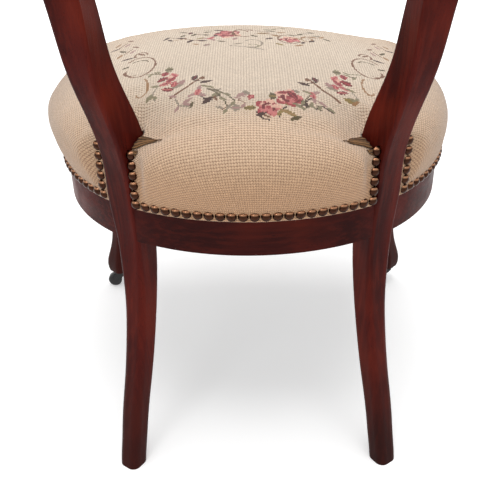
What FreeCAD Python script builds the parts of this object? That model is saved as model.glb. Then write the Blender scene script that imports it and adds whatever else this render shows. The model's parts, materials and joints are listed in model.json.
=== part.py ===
"""Balloon back chair: glued hardwood frame, stuffed-over sprung seat, castors on the front legs.

The model is laid out about the centre of the seat: X to the sitter's left, Y to the back, Z up,
floor at zero. At the end everything is moved along Y, so that the origin lies under the middle
of the chair's bounding box.
"""
import FreeCAD, Part
import math
import os
import Sketcher

V = FreeCAD.Vector
UP = V(0, 0, 1)
QUARTER_TURN = 90

# Driving dimensions, in millimetres and degrees.
SIZES = {
    # plan of the seat frame
    "seat_half_width": 236.0,
    "seat_widest_back": -20.0,
    "rear_joint_inset": 88.0,
    "rear_joint_back": 155.0,
    "back_bow": 44.5,
    "front_corner_inset": 24.0,
    "front_corner_forward": 185.0,
    "front_bow": 40.0,
    "front_corner_round": 30.0,
    "rail_bottom": 303.0,
    "rail_depth": 58.0,
    "rail_thickness": 24.0,
    "glue_line": 0.15,
    # rear leg and stile
    "leg_setback": 16.0,
    "section_spacing": 30.0,
    "tool_margin": 30.0,
    # front leg
    "front_leg_turn": 43.0,
    # crest rail and mid rail
    "crest_rise": 123.0,
    "crest_wide": 44.0,
    "crest_thick": 25.0,
    "crest_corner": 8.0,
    "back_rake": 10.4,
    "mid_rail_height": 640.0,
    "mid_rail_end_wide": 34.0,
    "mid_rail_neck_wide": 27.0,
    "mid_rail_centre_wide": 46.0,
    "mid_rail_thick": 20.0,
    "mid_rail_bow": 14.0,
    "mid_rail_corner": 6.0,
    # dowels
    "dowel_diameter": 9.0,
    "dowel_in_leg": 13.0,
    "dowel_in_rail": 22.0,
    "dowel_spacing": 28.0,
    "dowel_fit": 0.05,
    "dowel_end_gap": 1.0,
    "small_dowel_diameter": 7.0,
    "small_dowel_length": 30.0,
    "small_dowel_spacing": 15.0,
    # corner blocks
    "block_height": 34.0,
    "block_reach": 36.0,
    "block_width": 92.0,
    "block_screw_diameter": 4.0,
    "block_screw_length": 55.0,
    "block_screw_head": 8.0,
    "block_screw_spread": 0.25,
    # webbing and dust cover
    "webbing_wide": 50.0,
    "webbing_thick": 1.5,
    "webbing_pitch": 66.0,
    "webbing_straps": 4,
    "webbing_setback": 13.0,
    "webbing_beside_leg": 39.5,
    "webbing_tack_spread": 0.32,
    "webbing_edge": 6.0,
    "layer_gap": 0.1,
    "tack_head": 6.0,
    "tack_length": 11.0,
    "tack_shank": 1.6,
    "point_share": 0.85,
    "dust_cover_thick": 0.8,
    "dust_cover_edge": 9.0,
    "dust_tack_pitch": 62.0,
    # springs and stuffing
    "spring_wire": 3.2,
    "spring_end_radius": 37.0,
    "spring_waist_radius": 24.0,
    "spring_turns": 5.0,
    "spring_height": 88.0,
    "spring_pitch": 76.0,
    "wire_bend_share": 0.45,
    "canvas_thick": 1.2,
    "canvas_top_share": 0.6,
    "stuffing_clearance": 0.3,
    # cover
    "cover_thick": 2.0,
    "cover_hem": 15.5,
    "cover_bulge": 17.5,
    "cover_dome": 98.0,
    "cover_notch": 0.5,
    "cover_rise": 0.3,
    "cover_rise_share": 0.4,
    "recess_step": 0.5,
    "recess_margin": 1.0,
    # nails
    "nail_head": 11.4,
    "nail_dome": 4.0,
    "nail_length": 12.0,
    "nails_beside_stile": 5,
    "nail_shank": 1.8,
    "nail_row": 49.0,
    "nail_gap": 0.3,
    # castors
    "castor_splay_out": 19.0,
    "castor_splay_forward": 15.0,
    "castor_trail": 11.0,
    "wheel_diameter": 23.0,
    "wheel_width": 11.0,
    "wheel_round": 2.5,
    "axle_diameter": 4.0,
    "axle_fit": 0.05,
    "fork_cheek": 2.2,
    "fork_side_gap": 0.6,
    "fork_wheel_gap": 2.0,
    "fork_top": 5.0,
    "fork_half_length": 8.0,
    "fork_boss": 5.0,
    "pintle_diameter": 7.0,
    "pintle_fit": 0.06,
    "pintle_head": 9.0,
    "pintle_head_thick": 2.0,
    "plate_diameter": 28.0,
    "plate_thick": 2.5,
    "plate_gap": 0.3,
    "castor_screw_circle": 19.0,
    "castor_screw_length": 14.0,
    "castor_screw_diameter": 2.6,
    "castor_screw_head": 4.8,
}

# Rear leg from foot to crest joint: height, offset outwards and backwards from the leg's
# centre at the seat, turn of the section about the upright, its width, depth and corner.
# A height measured from the rail bottom has the mark "rail", one from the floor has "floor".
REAR_LEG = [
    ("foot", "floor", 0.0, 21.0, 66.0, 35.0, 28.0, 28.0, 10.0),
    ("ankle", "floor", 70.0, 14.0, 48.0, 35.0, 28.5, 29.0, 9.5),
    ("shin", "floor", 140.0, 4.5, 31.0, 35.0, 28.5, 30.0, 8.5),
    ("calf", "floor", 210.0, -2.0, 15.0, 34.0, 29.0, 31.5, 7.0),
    ("shoulder", "rail", -41.0, -3.5, 5.5, 32.0, 31.0, 34.0, 5.5),
    ("rail_edge", "rail", 0.0, -3.0, 1.0, 32.0, 32.5, 35.5, 4.5),
    ("seat", "rail", 44.0, -1.0, 0.0, 34.0, 35.0, 39.0, 4.0),
    ("lap", "rail", 97.0, -1.0, 6.0, 36.0, 34.0, 40.5, 4.0),
    ("waist", "rail", 137.0, 5.0, 14.0, 36.0, 33.0, 41.0, 4.0),
    ("rise", "floor", 500.0, 20.0, 26.0, 26.0, 32.5, 38.5, 4.0),
    ("flare", "floor", 570.0, 28.0, 39.0, 14.0, 35.0, 37.5, 4.0),
    ("belly", "floor", 640.0, 38.5, 52.0, 6.0, 34.5, 35.5, 4.0),
    ("widest", "floor", 700.0, 45.5, 63.5, 1.0, 33.0, 32.5, 4.0),
    ("top", "floor", 745.0, 47.5, 72.0, 0.0, 32.0, 30.0, 4.0),
]

# Front leg from the castor plate to the top: height, offset outwards from the straight line
# between the corner of the seat frame and the castor, width, depth and corner of the section.
FRONT_LEG = [
    ("pad", "plate", 0.0, 0.0, 31.0, 31.0, 9.0),
    ("toe", "plate", 12.0, 3.0, 34.0, 37.0, 9.0),
    ("instep", "plate", 30.0, 0.0, 30.0, 32.0, 9.0),
    ("ankle", "plate", 62.0, -5.0, 25.0, 26.0, 9.0),
    ("shin", "plate", 105.0, -8.5, 25.0, 26.0, 9.0),
    ("calf", "plate", 155.0, -9.0, 27.5, 29.5, 9.0),
    ("knee_under", "rail", -62.0, -10.5, 33.0, 37.0, 9.0),
    ("knee", "rail", -27.0, -15.0, 42.0, 45.0, 9.0),
    ("rail_edge", "rail", 0.0, -21.5, 43.0, 47.0, 9.0),
    ("top", "rail_top", 0.0, -27.0, 40.0, 44.0, 9.0),
]

# Covered seat above the rails, from its side to its crown: share of the bulge outwards and share
# of the dome upwards. Below zero the outline shrinks towards the middle of the seat.
COVER_PROFILE = [
    (0.20, 0.0),
    (0.58, 0.12),
    (0.86, 0.26),
    (1.0, 0.39),
    (0.9, 0.52),
    (0.42, 0.65),
    (-0.55, 0.76),
    (-2.2, 0.865),
    (-4.8, 0.95),
    (-8.3, 1.0),
]

# Sections of the crest rail, in degrees round its arch.
CREST_ANGLES = (0, 14, 32, 60, 90, 120, 148, 166, 180)

# Sections of the mid rail: share of its half length and the name of its width there.
MID_RAIL = [
    (-1.0, "end"),
    (-0.72, "neck"),
    (-0.4, "neck"),
    (0.0, "centre"),
    (0.4, "neck"),
    (0.72, "neck"),
    (1.0, "end"),
]

REAR_KEYS = ("up", "out", "back", "turn", "wide", "deep", "corner")
FRONT_KEYS = ("up", "out", "wide", "deep", "corner")

doc = FreeCAD.newDocument("balloon_back_chair")
sheet = doc.addObject("Spreadsheet::Sheet", "sizes")
pieces = {}


# ---------------------------------------------------------------- spreadsheet

def fill_sheet():
    """Write every driving dimension into the sheet, one row each, with its alias."""
    rows = dict(SIZES)
    for name, _, *numbers in REAR_LEG:
        rows.update({f"rear_{name}_{key}": value for key, value in zip(REAR_KEYS, numbers)})
    for name, _, *numbers in FRONT_LEG:
        rows.update({f"front_{name}_{key}": value for key, value in zip(FRONT_KEYS, numbers)})
    for row, (alias, value) in enumerate(rows.items(), start=1):
        sheet.set(f"A{row}", alias)
        sheet.set(f"B{row}", str(value))
        sheet.setAlias(f"B{row}", alias)
    doc.recompute()


def size(alias):
    """A number of the sheet."""
    return float(getattr(sheet, alias))


def keep(label, thing):
    """List a finished sub-part under the name of its node."""
    thing.Label = label
    pieces[label] = thing
    return thing


def solid_piece(label, shape):
    """A sub-part whose shape is built with Part's own functions."""
    thing = doc.addObject("Part::Feature", label)
    thing.Shape = shape
    return keep(label, thing)


# ---------------------------------------------------------------- plan of the seat frame

class Circle:
    """A circle of the seat's plan: centre x and y, radius, all in the plane."""

    def __init__(self, x, y, radius):
        self.x = x
        self.y = y
        self.radius = radius

    def inset(self, distance):
        return Circle(self.x, self.y, self.radius - distance)

    def meet(self, other, near):
        """The crossing with another circle that lies nearer to a given point."""
        dx = other.x - self.x
        dy = other.y - self.y
        apart = math.hypot(dx, dy)
        along = (apart ** 2 + self.radius ** 2 - other.radius ** 2) / (2 * apart)
        side = math.sqrt(max(self.radius ** 2 - along ** 2, 0.0))
        base = V(self.x + dx * along / apart, self.y + dy * along / apart, 0)
        step = V(-dy * side / apart, dx * side / apart, 0)
        return min(base + step, base - step, key=lambda point: (point - near).Length)

    def middle(self, start, end):
        """The point of the circle half way between two of its points, the short way."""
        half = (start + end) * 0.5 - V(self.x, self.y, 0)
        half.Length = self.radius
        return V(self.x, self.y, 0) + half

    def normal(self, point):
        """Unit vector from the centre to a point."""
        out = point - V(self.x, self.y, 0)
        out.Length = 1.0
        return out


def bow_radius(half_chord, rise):
    """Radius of an arc over a chord, from its rise at the middle."""
    return (half_chord ** 2 + rise ** 2) / (2 * rise)


def rear_joint():
    """Where the left ends of the back and side rails meet, in plan."""
    return V(size("seat_half_width") - size("rear_joint_inset"), size("rear_joint_back"), 0)


def front_corner():
    """Where the lines of the left side rail and the front rail meet, in plan."""
    return V(size("seat_half_width") - size("front_corner_inset"), -size("front_corner_forward"), 0)


def plan_circles():
    """The four circles of the left half of the seat's outline, from back to front."""
    rear = rear_joint()
    corner = front_corner()
    widest = size("seat_half_width")
    level = size("seat_widest_back")
    back_radius = bow_radius(rear.x, size("back_bow"))
    front_radius = bow_radius(corner.x, size("front_bow"))
    rear_side = bow_radius(rear.y - level, widest - rear.x)
    front_side = bow_radius(level - corner.y, widest - corner.x)
    return {
        "back": Circle(0, rear.y + size("back_bow") - back_radius, back_radius),
        "rear_side": Circle(widest - rear_side, level, rear_side),
        "front_side": Circle(widest - front_side, level, front_side),
        "front": Circle(0, corner.y - size("front_bow") + front_radius, front_radius),
    }


def plan_points(inset=0.0):
    """Corner points and circles of the left half of the outline, moved inwards."""
    circles = {name: circle.inset(inset) for name, circle in plan_circles().items()}
    points = {
        "rear": circles["back"].meet(circles["rear_side"], rear_joint()),
        "widest": V(size("seat_half_width") - inset, size("seat_widest_back"), 0),
        "corner": circles["front_side"].meet(circles["front"], front_corner()),
    }
    return points, circles


def mirrored(point):
    return V(-point.x, point.y, point.z)


def arc(circle, start, end):
    return Part.Arc(start, circle.middle(start, end), end)


def half_arcs(inset=0.0):
    """The two arcs of the left side, from the rear joint to the front corner."""
    points, circles = plan_points(inset)
    return [
        arc(circles["rear_side"], points["rear"], points["widest"]),
        arc(circles["front_side"], points["widest"], points["corner"]),
    ]


def mirrored_arc(curve):
    first = curve.value(curve.FirstParameter)
    last = curve.value(curve.LastParameter)
    middle = curve.value((curve.FirstParameter + curve.LastParameter) / 2)
    return Part.Arc(mirrored(last), mirrored(middle), mirrored(first))


def crossing_arc(place, inset):
    """The single arc of the back or front rail, from side to side."""
    points, circles = plan_points(inset)
    corner = points["rear" if place == "back" else "corner"]
    circle = circles[place]
    reach = circle.radius if place == "back" else -circle.radius
    return Part.Arc(mirrored(corner), V(0, circle.y + reach, 0), corner)


def corner_round(circles, inset=0.0):
    """The small arc that rounds the left front corner, from the side to the front."""
    radius = max(size("front_corner_round") - inset, 1.0)
    side = circles["front_side"]
    front = circles["front"]
    corner = side.meet(front, front_corner())
    centre = side.inset(radius).meet(front.inset(radius), corner)
    small = Circle(centre.x, centre.y, radius)
    return arc(small, centre + side.normal(centre) * radius, centre + front.normal(centre) * radius)


def outline_arcs(inset=0.0):
    """The outline as arcs, running from the back rail's left end round to its right end."""
    points, circles = plan_points(inset)
    corner = corner_round(circles, inset)
    turn_in = corner.value(corner.FirstParameter)
    turn_out = corner.value(corner.LastParameter)
    left = [
        arc(circles["rear_side"], points["rear"], points["widest"]),
        arc(circles["front_side"], points["widest"], turn_in),
        corner,
    ]
    front = Part.Arc(turn_out, V(0, circles["front"].y - circles["front"].radius, 0),
                     mirrored(turn_out))
    right = [mirrored_arc(curve) for curve in reversed(left)]
    return [*left, front, *right]


def outline_wire(height, inset=0.0, scale=1.0):
    """The whole outline as a wire, moved inwards or scaled about the seat's middle."""
    arcs = [crossing_arc("back", inset), *outline_arcs(inset)]
    wire = Part.Wire([curve.toShape() for curve in arcs])
    if scale != 1.0:
        matrix = FreeCAD.Matrix()
        matrix.scale(scale, scale, 1.0)
        wire = wire.transformGeometry(matrix)
    wire.translate(V(0, 0, height))
    return wire


def plan_slab(bottom, top, inset=0.0):
    """A slab of the outline between two heights."""
    return Part.Face(outline_wire(bottom, inset)).extrude(V(0, 0, top - bottom))


# ---------------------------------------------------------------- sketch helpers

def origin_plane(body, role="XY_Plane"):
    return next(item for item in body.Origin.OriginFeatures if item.Role == role)


def flat_sketch(body, name, placement=None, expression=None):
    """A sketch on the body's own XY plane, moved by a placement or by an expression."""
    sketch = body.newObject("Sketcher::SketchObject", name)
    sketch.AttachmentSupport = (origin_plane(body), [""])
    sketch.MapMode = "FlatFace"
    if placement is not None:
        sketch.AttachmentOffset = placement
    if expression is not None:
        sketch.setExpression("AttachmentOffset", expression)
    return sketch


def closed_profile(sketch, curves):
    """Put a closed chain of curves into a sketch and join their ends.

    A sketch turns every arc anticlockwise, so the ends that meet are found by their place.
    """
    numbers = sketch.addGeometry(list(curves), False)
    for place, number in enumerate(numbers):
        following = numbers[(place + 1) % len(numbers)]
        ends = [(one, other) for one in (1, 2) for other in (1, 2)]
        one, other = min(ends, key=lambda pair: (sketch.getPoint(number, pair[0])
                                                 - sketch.getPoint(following, pair[1])).Length)
        sketch.addConstraint(Sketcher.Constraint("Coincident", number, one, following, other))


def rounded_section(body, name, placement, wide, deep, corner):
    """A rounded rectangle centred on its sketch, drawn at once and then bound to the sheet."""
    sketch = flat_sketch(body, name, placement)
    half_wide, half_deep, radius = 15.0, 16.0, 3.0
    inner_x = half_wide - radius
    inner_y = half_deep - radius
    ends = [
        (V(-inner_x, -half_deep, 0), V(inner_x, -half_deep, 0)),
        (V(half_wide, -inner_y, 0), V(half_wide, inner_y, 0)),
        (V(inner_x, half_deep, 0), V(-inner_x, half_deep, 0)),
        (V(-half_wide, inner_y, 0), V(-half_wide, -inner_y, 0)),
    ]
    centres = [(inner_x, -inner_y), (inner_x, inner_y), (-inner_x, inner_y), (-inner_x, -inner_y)]
    sides = []
    rounds = []
    for quarter, (start, end) in enumerate(ends):
        x, y = centres[quarter]
        turn = math.radians((quarter - 1) * QUARTER_TURN)
        circle = Part.Circle(V(x, y, 0), UP, radius)
        sides.append(sketch.addGeometry(Part.LineSegment(start, end), False))
        rounds.append(sketch.addGeometry(Part.ArcOfCircle(circle, turn, turn + math.pi / 2), False))
    rule = Sketcher.Constraint
    for quarter in range(4):
        sketch.addConstraint(rule("Tangent", sides[quarter], 2, rounds[quarter], 1))
        sketch.addConstraint(rule("Tangent", rounds[quarter], 2, sides[(quarter + 1) % 4], 1))
    for quarter in range(1, 4):
        sketch.addConstraint(rule("Equal", rounds[0], rounds[quarter]))
    for quarter in range(4):
        direction = "Horizontal" if quarter % 2 == 0 else "Vertical"
        sketch.addConstraint(rule(direction, sides[quarter]))
    sketch.addConstraint(rule("Symmetric", sides[0], 1, sides[2], 1, -1, 1))
    bound = {
        "corner": (rule("Radius", rounds[0], radius), corner),
        "wide": (rule("DistanceX", sides[3], 1, sides[1], 2, 2 * half_wide), wide),
        "deep": (rule("DistanceY", sides[0], 1, sides[2], 1, 2 * half_deep), deep),
    }
    for label, (constraint, expression) in bound.items():
        number = sketch.addConstraint(constraint)
        sketch.renameConstraint(number, label)
        sketch.setExpression(f"Constraints.{label}", expression)
    return sketch


def rounded_wire(placement, wide, deep, corner):
    """The same rounded rectangle as a plain wire, for the tools that cut a seat around a leg."""
    x = wide / 2 - corner
    y = deep / 2 - corner
    rims = []
    for centre, angle in ((V(x, -y, 0), -45), (V(x, y, 0), 45), (V(-x, y, 0), 135), (V(-x, -y, 0), 225)):
        turns = [math.radians(angle + step) for step in (-45, 0, 45)]
        rims.append([centre + V(math.cos(turn), math.sin(turn), 0) * corner for turn in turns])
    edges = []
    for place, rim in enumerate(rims):
        edges.append(Part.LineSegment(rims[place - 1][2], rim[0]).toShape())
        edges.append(Part.Arc(*rim).toShape())
    wire = Part.Wire(edges)
    wire.Placement = placement
    return wire


def loft_body(name, sections):
    """A body lofted through rounded sections: (name, placement, wide, deep, corner) each."""
    body = doc.addObject("PartDesign::Body", name)
    sketches = [rounded_section(body, f"{name}_{part}", *rest) for part, *rest in sections]
    loft = body.newObject("PartDesign::AdditiveLoft", f"{name}_loft")
    loft.Profile = sketches[0]
    loft.Sections = sketches[1:]
    body.Tip = loft
    return body


def turned(x, y, z, turn):
    """A placement at a point, turned about the upright."""
    return FreeCAD.Placement(V(x, y, z), FreeCAD.Rotation(UP, turn))


# ---------------------------------------------------------------- legs

def leg_centre():
    """The middle of the rear leg at the seat, set in from the joint of the rails."""
    points, circles = plan_points()
    inward = circles["back"].normal(points["rear"]) + circles["rear_side"].normal(points["rear"])
    inward.Length = size("leg_setback")
    return points["rear"] - inward


def station_weights(heights, height):
    """How much each station counts at a height, on a smooth curve through all stations."""
    last = len(heights) - 1
    low = max(place for place in range(last) if heights[place] <= height or place == 0)
    span = heights[low + 1] - heights[low]
    share = (height - heights[low]) / span
    curve = {
        "start": 2 * share ** 3 - 3 * share ** 2 + 1,
        "leave": (share ** 3 - 2 * share ** 2 + share) * span,
        "end": -2 * share ** 3 + 3 * share ** 2,
        "arrive": (share ** 3 - share ** 2) * span,
    }
    weights = dict.fromkeys(range(last + 1), 0.0)
    weights[low] += curve["start"]
    weights[low + 1] += curve["end"]
    for place, pull in ((low, curve["leave"]), (low + 1, curve["arrive"])):
        before = max(place - 1, 0)
        after = min(place + 1, last)
        reach = heights[after] - heights[before]
        weights[after] += pull / reach
        weights[before] -= pull / reach
    return {place: weight for place, weight in weights.items() if abs(weight) > 1e-9}


def even_heights(heights, spacing):
    """Heights from the first to the last station, evenly spaced."""
    count = round((heights[-1] - heights[0]) / spacing)
    return [heights[0] + (heights[-1] - heights[0]) * step / count for step in range(count + 1)]


class Profile:
    """A leg's stations, read at any height between them."""

    def __init__(self, prefix, stations, heights):
        self.prefix = prefix
        self.names = [station[0] for station in stations]
        self.heights = heights

    def value(self, key, height):
        weights = station_weights(self.heights, height)
        return sum(weight * size(f"{self.prefix}_{self.names[place]}_{key}")
                   for place, weight in weights.items())

    def expression(self, key, height):
        weights = station_weights(self.heights, height)
        return " + ".join(f"{weight:.6f} * sizes.{self.prefix}_{self.names[place]}_{key}"
                          for place, weight in weights.items())

    def levels(self):
        return even_heights(self.heights, size("section_spacing"))


def rear_profile():
    """The rear leg's profile, its heights counted from the floor or from the rail bottom."""
    starts = {"floor": 0.0, "rail": size("rail_bottom")}
    heights = [starts[base] + size(f"rear_{name}_up") for name, base, *_ in REAR_LEG]
    return Profile("rear", REAR_LEG, heights)


def rear_placement(height):
    """Where the left rear leg's section lies at a height."""
    centre = leg_centre()
    profile = rear_profile()
    return turned(centre.x + profile.value("out", height), centre.y + profile.value("back", height),
                  height, -profile.value("turn", height))


def lofted_leg(profile, placement):
    """A leg as a body lofted through evenly spaced sections of its profile."""
    sections = [
        (f"section{step}", placement(height), profile.expression("wide", height),
         profile.expression("deep", height), profile.expression("corner", height))
        for step, height in enumerate(profile.levels())
    ]
    return loft_body(f"{profile.prefix}_leg", sections)


def leg_tool(profile, placement, growth, low, high, outward):
    """A stretch of a leg grown on all sides, and further outwards, to cut what fits around it."""
    step = FreeCAD.Placement(V(0, outward / 2, 0), FreeCAD.Rotation())
    wires = [
        rounded_wire(placement(height).multiply(step), profile.value("wide", height) + 2 * growth,
                     profile.value("deep", height) + 2 * growth + outward,
                     profile.value("corner", height) + growth)
        for height in profile.levels()
    ]
    width = 4 * size("seat_half_width")
    stretch = Part.makeBox(width, width, high - low, V(-width / 2, -width / 2, low))
    return Part.makeLoft(wires, True, False).common(stretch)


def rail_top():
    return size("rail_bottom") + size("rail_depth")


def rear_leg_tools(growth, low, high, outward=0.0):
    """Both rear legs between two heights, grown, as cutting tools."""
    tool = leg_tool(rear_profile(), rear_placement, growth, low, high, outward)
    return both_sides(tool)


def seat_leg_tools():
    """All four legs at the height of the rails, with the glue line added."""
    growth = size("glue_line")
    margin = size("tool_margin")
    low = size("rail_bottom") - margin
    front = leg_tool(front_profile(), front_placement, growth, low, rail_top(), margin)
    return rear_leg_tools(growth, low, rail_top() + margin) + both_sides(front)


def leg_direction():
    """The way the left front leg points, in plan."""
    turn = math.radians(size("front_leg_turn"))
    return V(math.cos(turn), -math.sin(turn), 0)


def plate_top():
    return size("wheel_diameter") + size("fork_wheel_gap") + size("fork_top") \
        + size("plate_gap") + size("plate_thick")


def front_profile():
    """The front leg's profile, its heights counted from the castor plate or from the rails."""
    starts = {
        "plate": plate_top(),
        "rail": size("rail_bottom"),
        "rail_top": rail_top(),
    }
    heights = [starts[base] + size(f"front_{name}_up") for name, base, *_ in FRONT_LEG]
    return Profile("front", FRONT_LEG, heights)


def front_placement(height):
    """Where the left front leg's section lies at a height. Its foot is over the castor's pintle."""
    corner = front_corner()
    outward = leg_direction()
    kick = castor_centre() - corner
    profile = front_profile()
    top = profile.heights[-1]
    share = (top - height) / (top - profile.heights[0])
    point = corner + outward * profile.value("out", height) + kick * share
    return turned(point.x, point.y, height, -QUARTER_TURN - size("front_leg_turn"))


def both_sides(shape):
    """A shape and its mirror image across the middle of the chair."""
    return [shape, shape.mirror(V(0, 0, 0), V(1, 0, 0))]


def cut_piece(label, base, tools):
    """Cut a list of shapes from an object, as a Part::Cut with both kept in the tree."""
    tool = doc.addObject("Part::Feature", f"{label}_cutters")
    tool.Shape = Part.Compound(tools)
    result = doc.addObject("Part::Cut", label)
    result.Base = base
    result.Tool = tool
    return result


def mirror_piece(label, source):
    twin = doc.addObject("Part::Mirroring", label)
    twin.Source = source
    twin.Normal = V(1, 0, 0)
    return keep(label, twin)


def hem_trim():
    """Everything outside the seat frame above the lower edge of the cover."""
    lower = rail_top() - size("cover_hem") - size("layer_gap")
    height = size("rail_depth")
    width = size("seat_half_width") * 4
    block = Part.makeBox(width, width, height, V(-width / 2, -width / 2, lower))
    return block.cut(plan_slab(lower, lower + height, size("glue_line")))


# ---------------------------------------------------------------- rails and their dowels

def rail_body(label, outer, inner):
    """A bowed rail: its plan between an outer and an inner chain of arcs, padded upwards."""
    body = doc.addObject("PartDesign::Body", f"{label}_blank")
    place = FreeCAD.Placement(V(0, 0, size("rail_bottom")), FreeCAD.Rotation())
    sketch = flat_sketch(body, f"{label}_plan", place)
    sketch.setExpression("AttachmentOffset.Base.z", "sizes.rail_bottom")
    outer_end = outer[-1].value(outer[-1].LastParameter)
    outer_start = outer[0].value(outer[0].FirstParameter)
    inner_end = inner[-1].value(inner[-1].LastParameter)
    inner_start = inner[0].value(inner[0].FirstParameter)
    returned = [Part.Arc(curve.value(curve.LastParameter),
                         curve.value((curve.FirstParameter + curve.LastParameter) / 2),
                         curve.value(curve.FirstParameter)) for curve in reversed(inner)]
    chain = [*outer, Part.LineSegment(outer_end, inner_end), *returned,
             Part.LineSegment(inner_start, outer_start)]
    closed_profile(sketch, chain)
    pad = body.newObject("PartDesign::Pad", f"{label}_pad")
    pad.Profile = sketch
    pad.setExpression("Length", "sizes.rail_depth")
    body.Tip = pad
    return body


def joint_dowels(growth=0.0, extra=0.0):
    """The dowels of all rail joints, two to a joint, as cylinders along the rail."""
    points, circles = plan_points(size("rail_thickness") / 2)
    turn = math.radians(size("rear_seat_turn"))
    across_rear = V(math.cos(turn), -math.sin(turn), 0)
    across_front = V(-leg_direction().y, leg_direction().x, 0)
    ends = [
        ("rear", "back", across_rear, size("rear_seat_wide"), -1),
        ("rear", "rear_side", across_rear, size("rear_seat_wide"), 1),
        ("corner", "front_side", across_front, size("front_top_wide"), 1),
        ("corner", "front", across_front, size("front_top_wide"), -1),
    ]
    middle = size("rail_bottom") + size("rail_depth") / 2
    radius = size("dowel_diameter") / 2 + growth
    length = size("dowel_in_leg") + size("dowel_in_rail") + 2 * extra
    dowels = []
    for corner, rail, across, wide, sense in ends:
        start = points[corner]
        normal = circles[rail].normal(start)
        along = V(-normal.y, normal.x, 0)
        if along.dot(across) * sense < 0:
            along = along * -1
        face = wide / 2 / abs(along.dot(across))
        for level in (-0.5, 0.5):
            height = middle + level * size("dowel_spacing")
            begin = start + along * (face - size("dowel_in_leg") - extra) + V(0, 0, height)
            dowels.extend(both_sides(Part.makeCylinder(radius, length, begin, along)))
    return dowels


def seat_rails(leg_tools, holes):
    """The four rails, each cut at its ends by the legs and bored for its dowels."""
    thick = size("rail_thickness")
    plans = {
        "back_seat_rail": ([crossing_arc("back", 0)], [crossing_arc("back", thick)]),
        "front_seat_rail": ([crossing_arc("front", 0)], [crossing_arc("front", thick)]),
        "side_seat_rail_left": (half_arcs(), half_arcs(thick)),
    }
    for label, (outer, inner) in plans.items():
        body = rail_body(label, outer, inner)
        keep(label, cut_piece(label, body, leg_tools + holes))
    mirror_piece("side_seat_rail_right", pieces["side_seat_rail_left"])


# ---------------------------------------------------------------- crest rail and mid rail

def crest_places():
    """Sections of the crest rail along its arch, from the left joint to the right one."""
    top = rear_placement(rear_profile().heights[-1])
    half_span = top.Base.x
    rise = size("crest_rise")
    rake = math.radians(size("back_rake"))
    places = []
    for step, turn in enumerate(CREST_ANGLES):
        angle = math.radians(turn)
        lift = rise * math.sin(angle)
        point = V(half_span * math.cos(angle), top.Base.y + lift * math.tan(rake), top.Base.z + lift)
        lean = math.degrees(math.atan2(half_span * math.sin(angle), rise * math.cos(angle)))
        tip = FreeCAD.Rotation(V(1, 0, 0), -size("back_rake") * math.sin(angle))
        bend = FreeCAD.Rotation(V(0, 1, 0), -lean)
        places.append((f"s{step}", FreeCAD.Placement(point, tip * bend), math.sin(angle)))
    return places


def crest_rail(holes):
    """The top of the balloon, deepest at its middle, with the section of the stiles at its ends."""
    sections = []
    for name, place, middle in crest_places():
        wide = f"sizes.rear_top_wide + (sizes.crest_wide - sizes.rear_top_wide) * {middle ** 3:.4f}"
        deep = f"sizes.rear_top_deep + (sizes.crest_thick - sizes.rear_top_deep) * {middle:.4f}"
        round_edge = f"sizes.rear_top_corner + (sizes.crest_corner - sizes.rear_top_corner) * {middle:.4f}"
        sections.append((name, place, wide, deep, round_edge))
    body = loft_body("crest_rail_blank", sections)
    keep("crest_rail", cut_piece("crest_rail", body, holes))


def mid_rail_point(share):
    """The middle of the mid rail at a share of its half length, -1 at the right stile."""
    height = size("mid_rail_height")
    stile = rear_placement(height).Base
    return V(stile.x * share, stile.y + size("mid_rail_bow") * (1 - share ** 2), height)


def mid_rail(holes):
    """The cross splat between the stiles: waisted, deeper at its middle, bowed to the back."""
    facing = FreeCAD.Rotation(V(0, 1, 0), QUARTER_TURN)
    sections = []
    for step, (share, name) in enumerate(MID_RAIL):
        place = FreeCAD.Placement(mid_rail_point(share), facing)
        wide = f"sizes.mid_rail_{name}_wide"
        sections.append((f"s{step}", place, wide, "sizes.mid_rail_thick", "sizes.mid_rail_corner"))
    body = loft_body("mid_rail_blank", sections)
    height = size("mid_rail_height")
    reach = size("tool_margin")
    stiles = rear_leg_tools(size("glue_line"), height - reach, height + reach)
    keep("mid_rail", cut_piece("mid_rail", body, stiles + holes))


def small_dowels(points, direction, spread, growth=0.0, extra=0.0):
    """Pairs of small dowels through the joints at given points."""
    radius = size("small_dowel_diameter") / 2 + growth
    length = size("small_dowel_length") + 2 * extra
    dowels = []
    for point in points:
        for side in (-0.5, 0.5):
            start = point + spread * side * size("small_dowel_spacing") - direction * (length / 2)
            dowels.append(Part.makeCylinder(radius, length, start, direction))
    return dowels


def crest_dowels(growth=0.0, extra=0.0):
    joint = rear_placement(rear_profile().heights[-1]).Base
    return small_dowels([joint, mirrored(joint)], UP, V(1, 0, 0), growth, extra)


def mid_rail_dowels(growth=0.0, extra=0.0):
    stile = mid_rail_point(1.0)
    wide = rear_profile().value("wide", size("mid_rail_height"))
    joint = stile - V(wide / 2, 0, 0)
    return small_dowels([joint, mirrored(joint)], V(1, 0, 0), UP, growth, extra)


# ---------------------------------------------------------------- turned fasteners

def revolved(points, start_arc=None):
    """A solid turned about the Z axis from points (radius, height), the first and last on it."""
    corners = [V(radius, 0, height) for radius, height in points]
    edges = [Part.LineSegment(a, b).toShape() for a, b in zip(corners, corners[1:])]
    if start_arc is not None:
        edges[0] = Part.Arc(corners[0], V(start_arc[0], 0, start_arc[1]), corners[1]).toShape()
    edges.append(Part.LineSegment(corners[-1], corners[0]).toShape())
    return Part.Face(Part.Wire(edges)).revolve(V(0, 0, 0), UP, 360)


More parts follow.
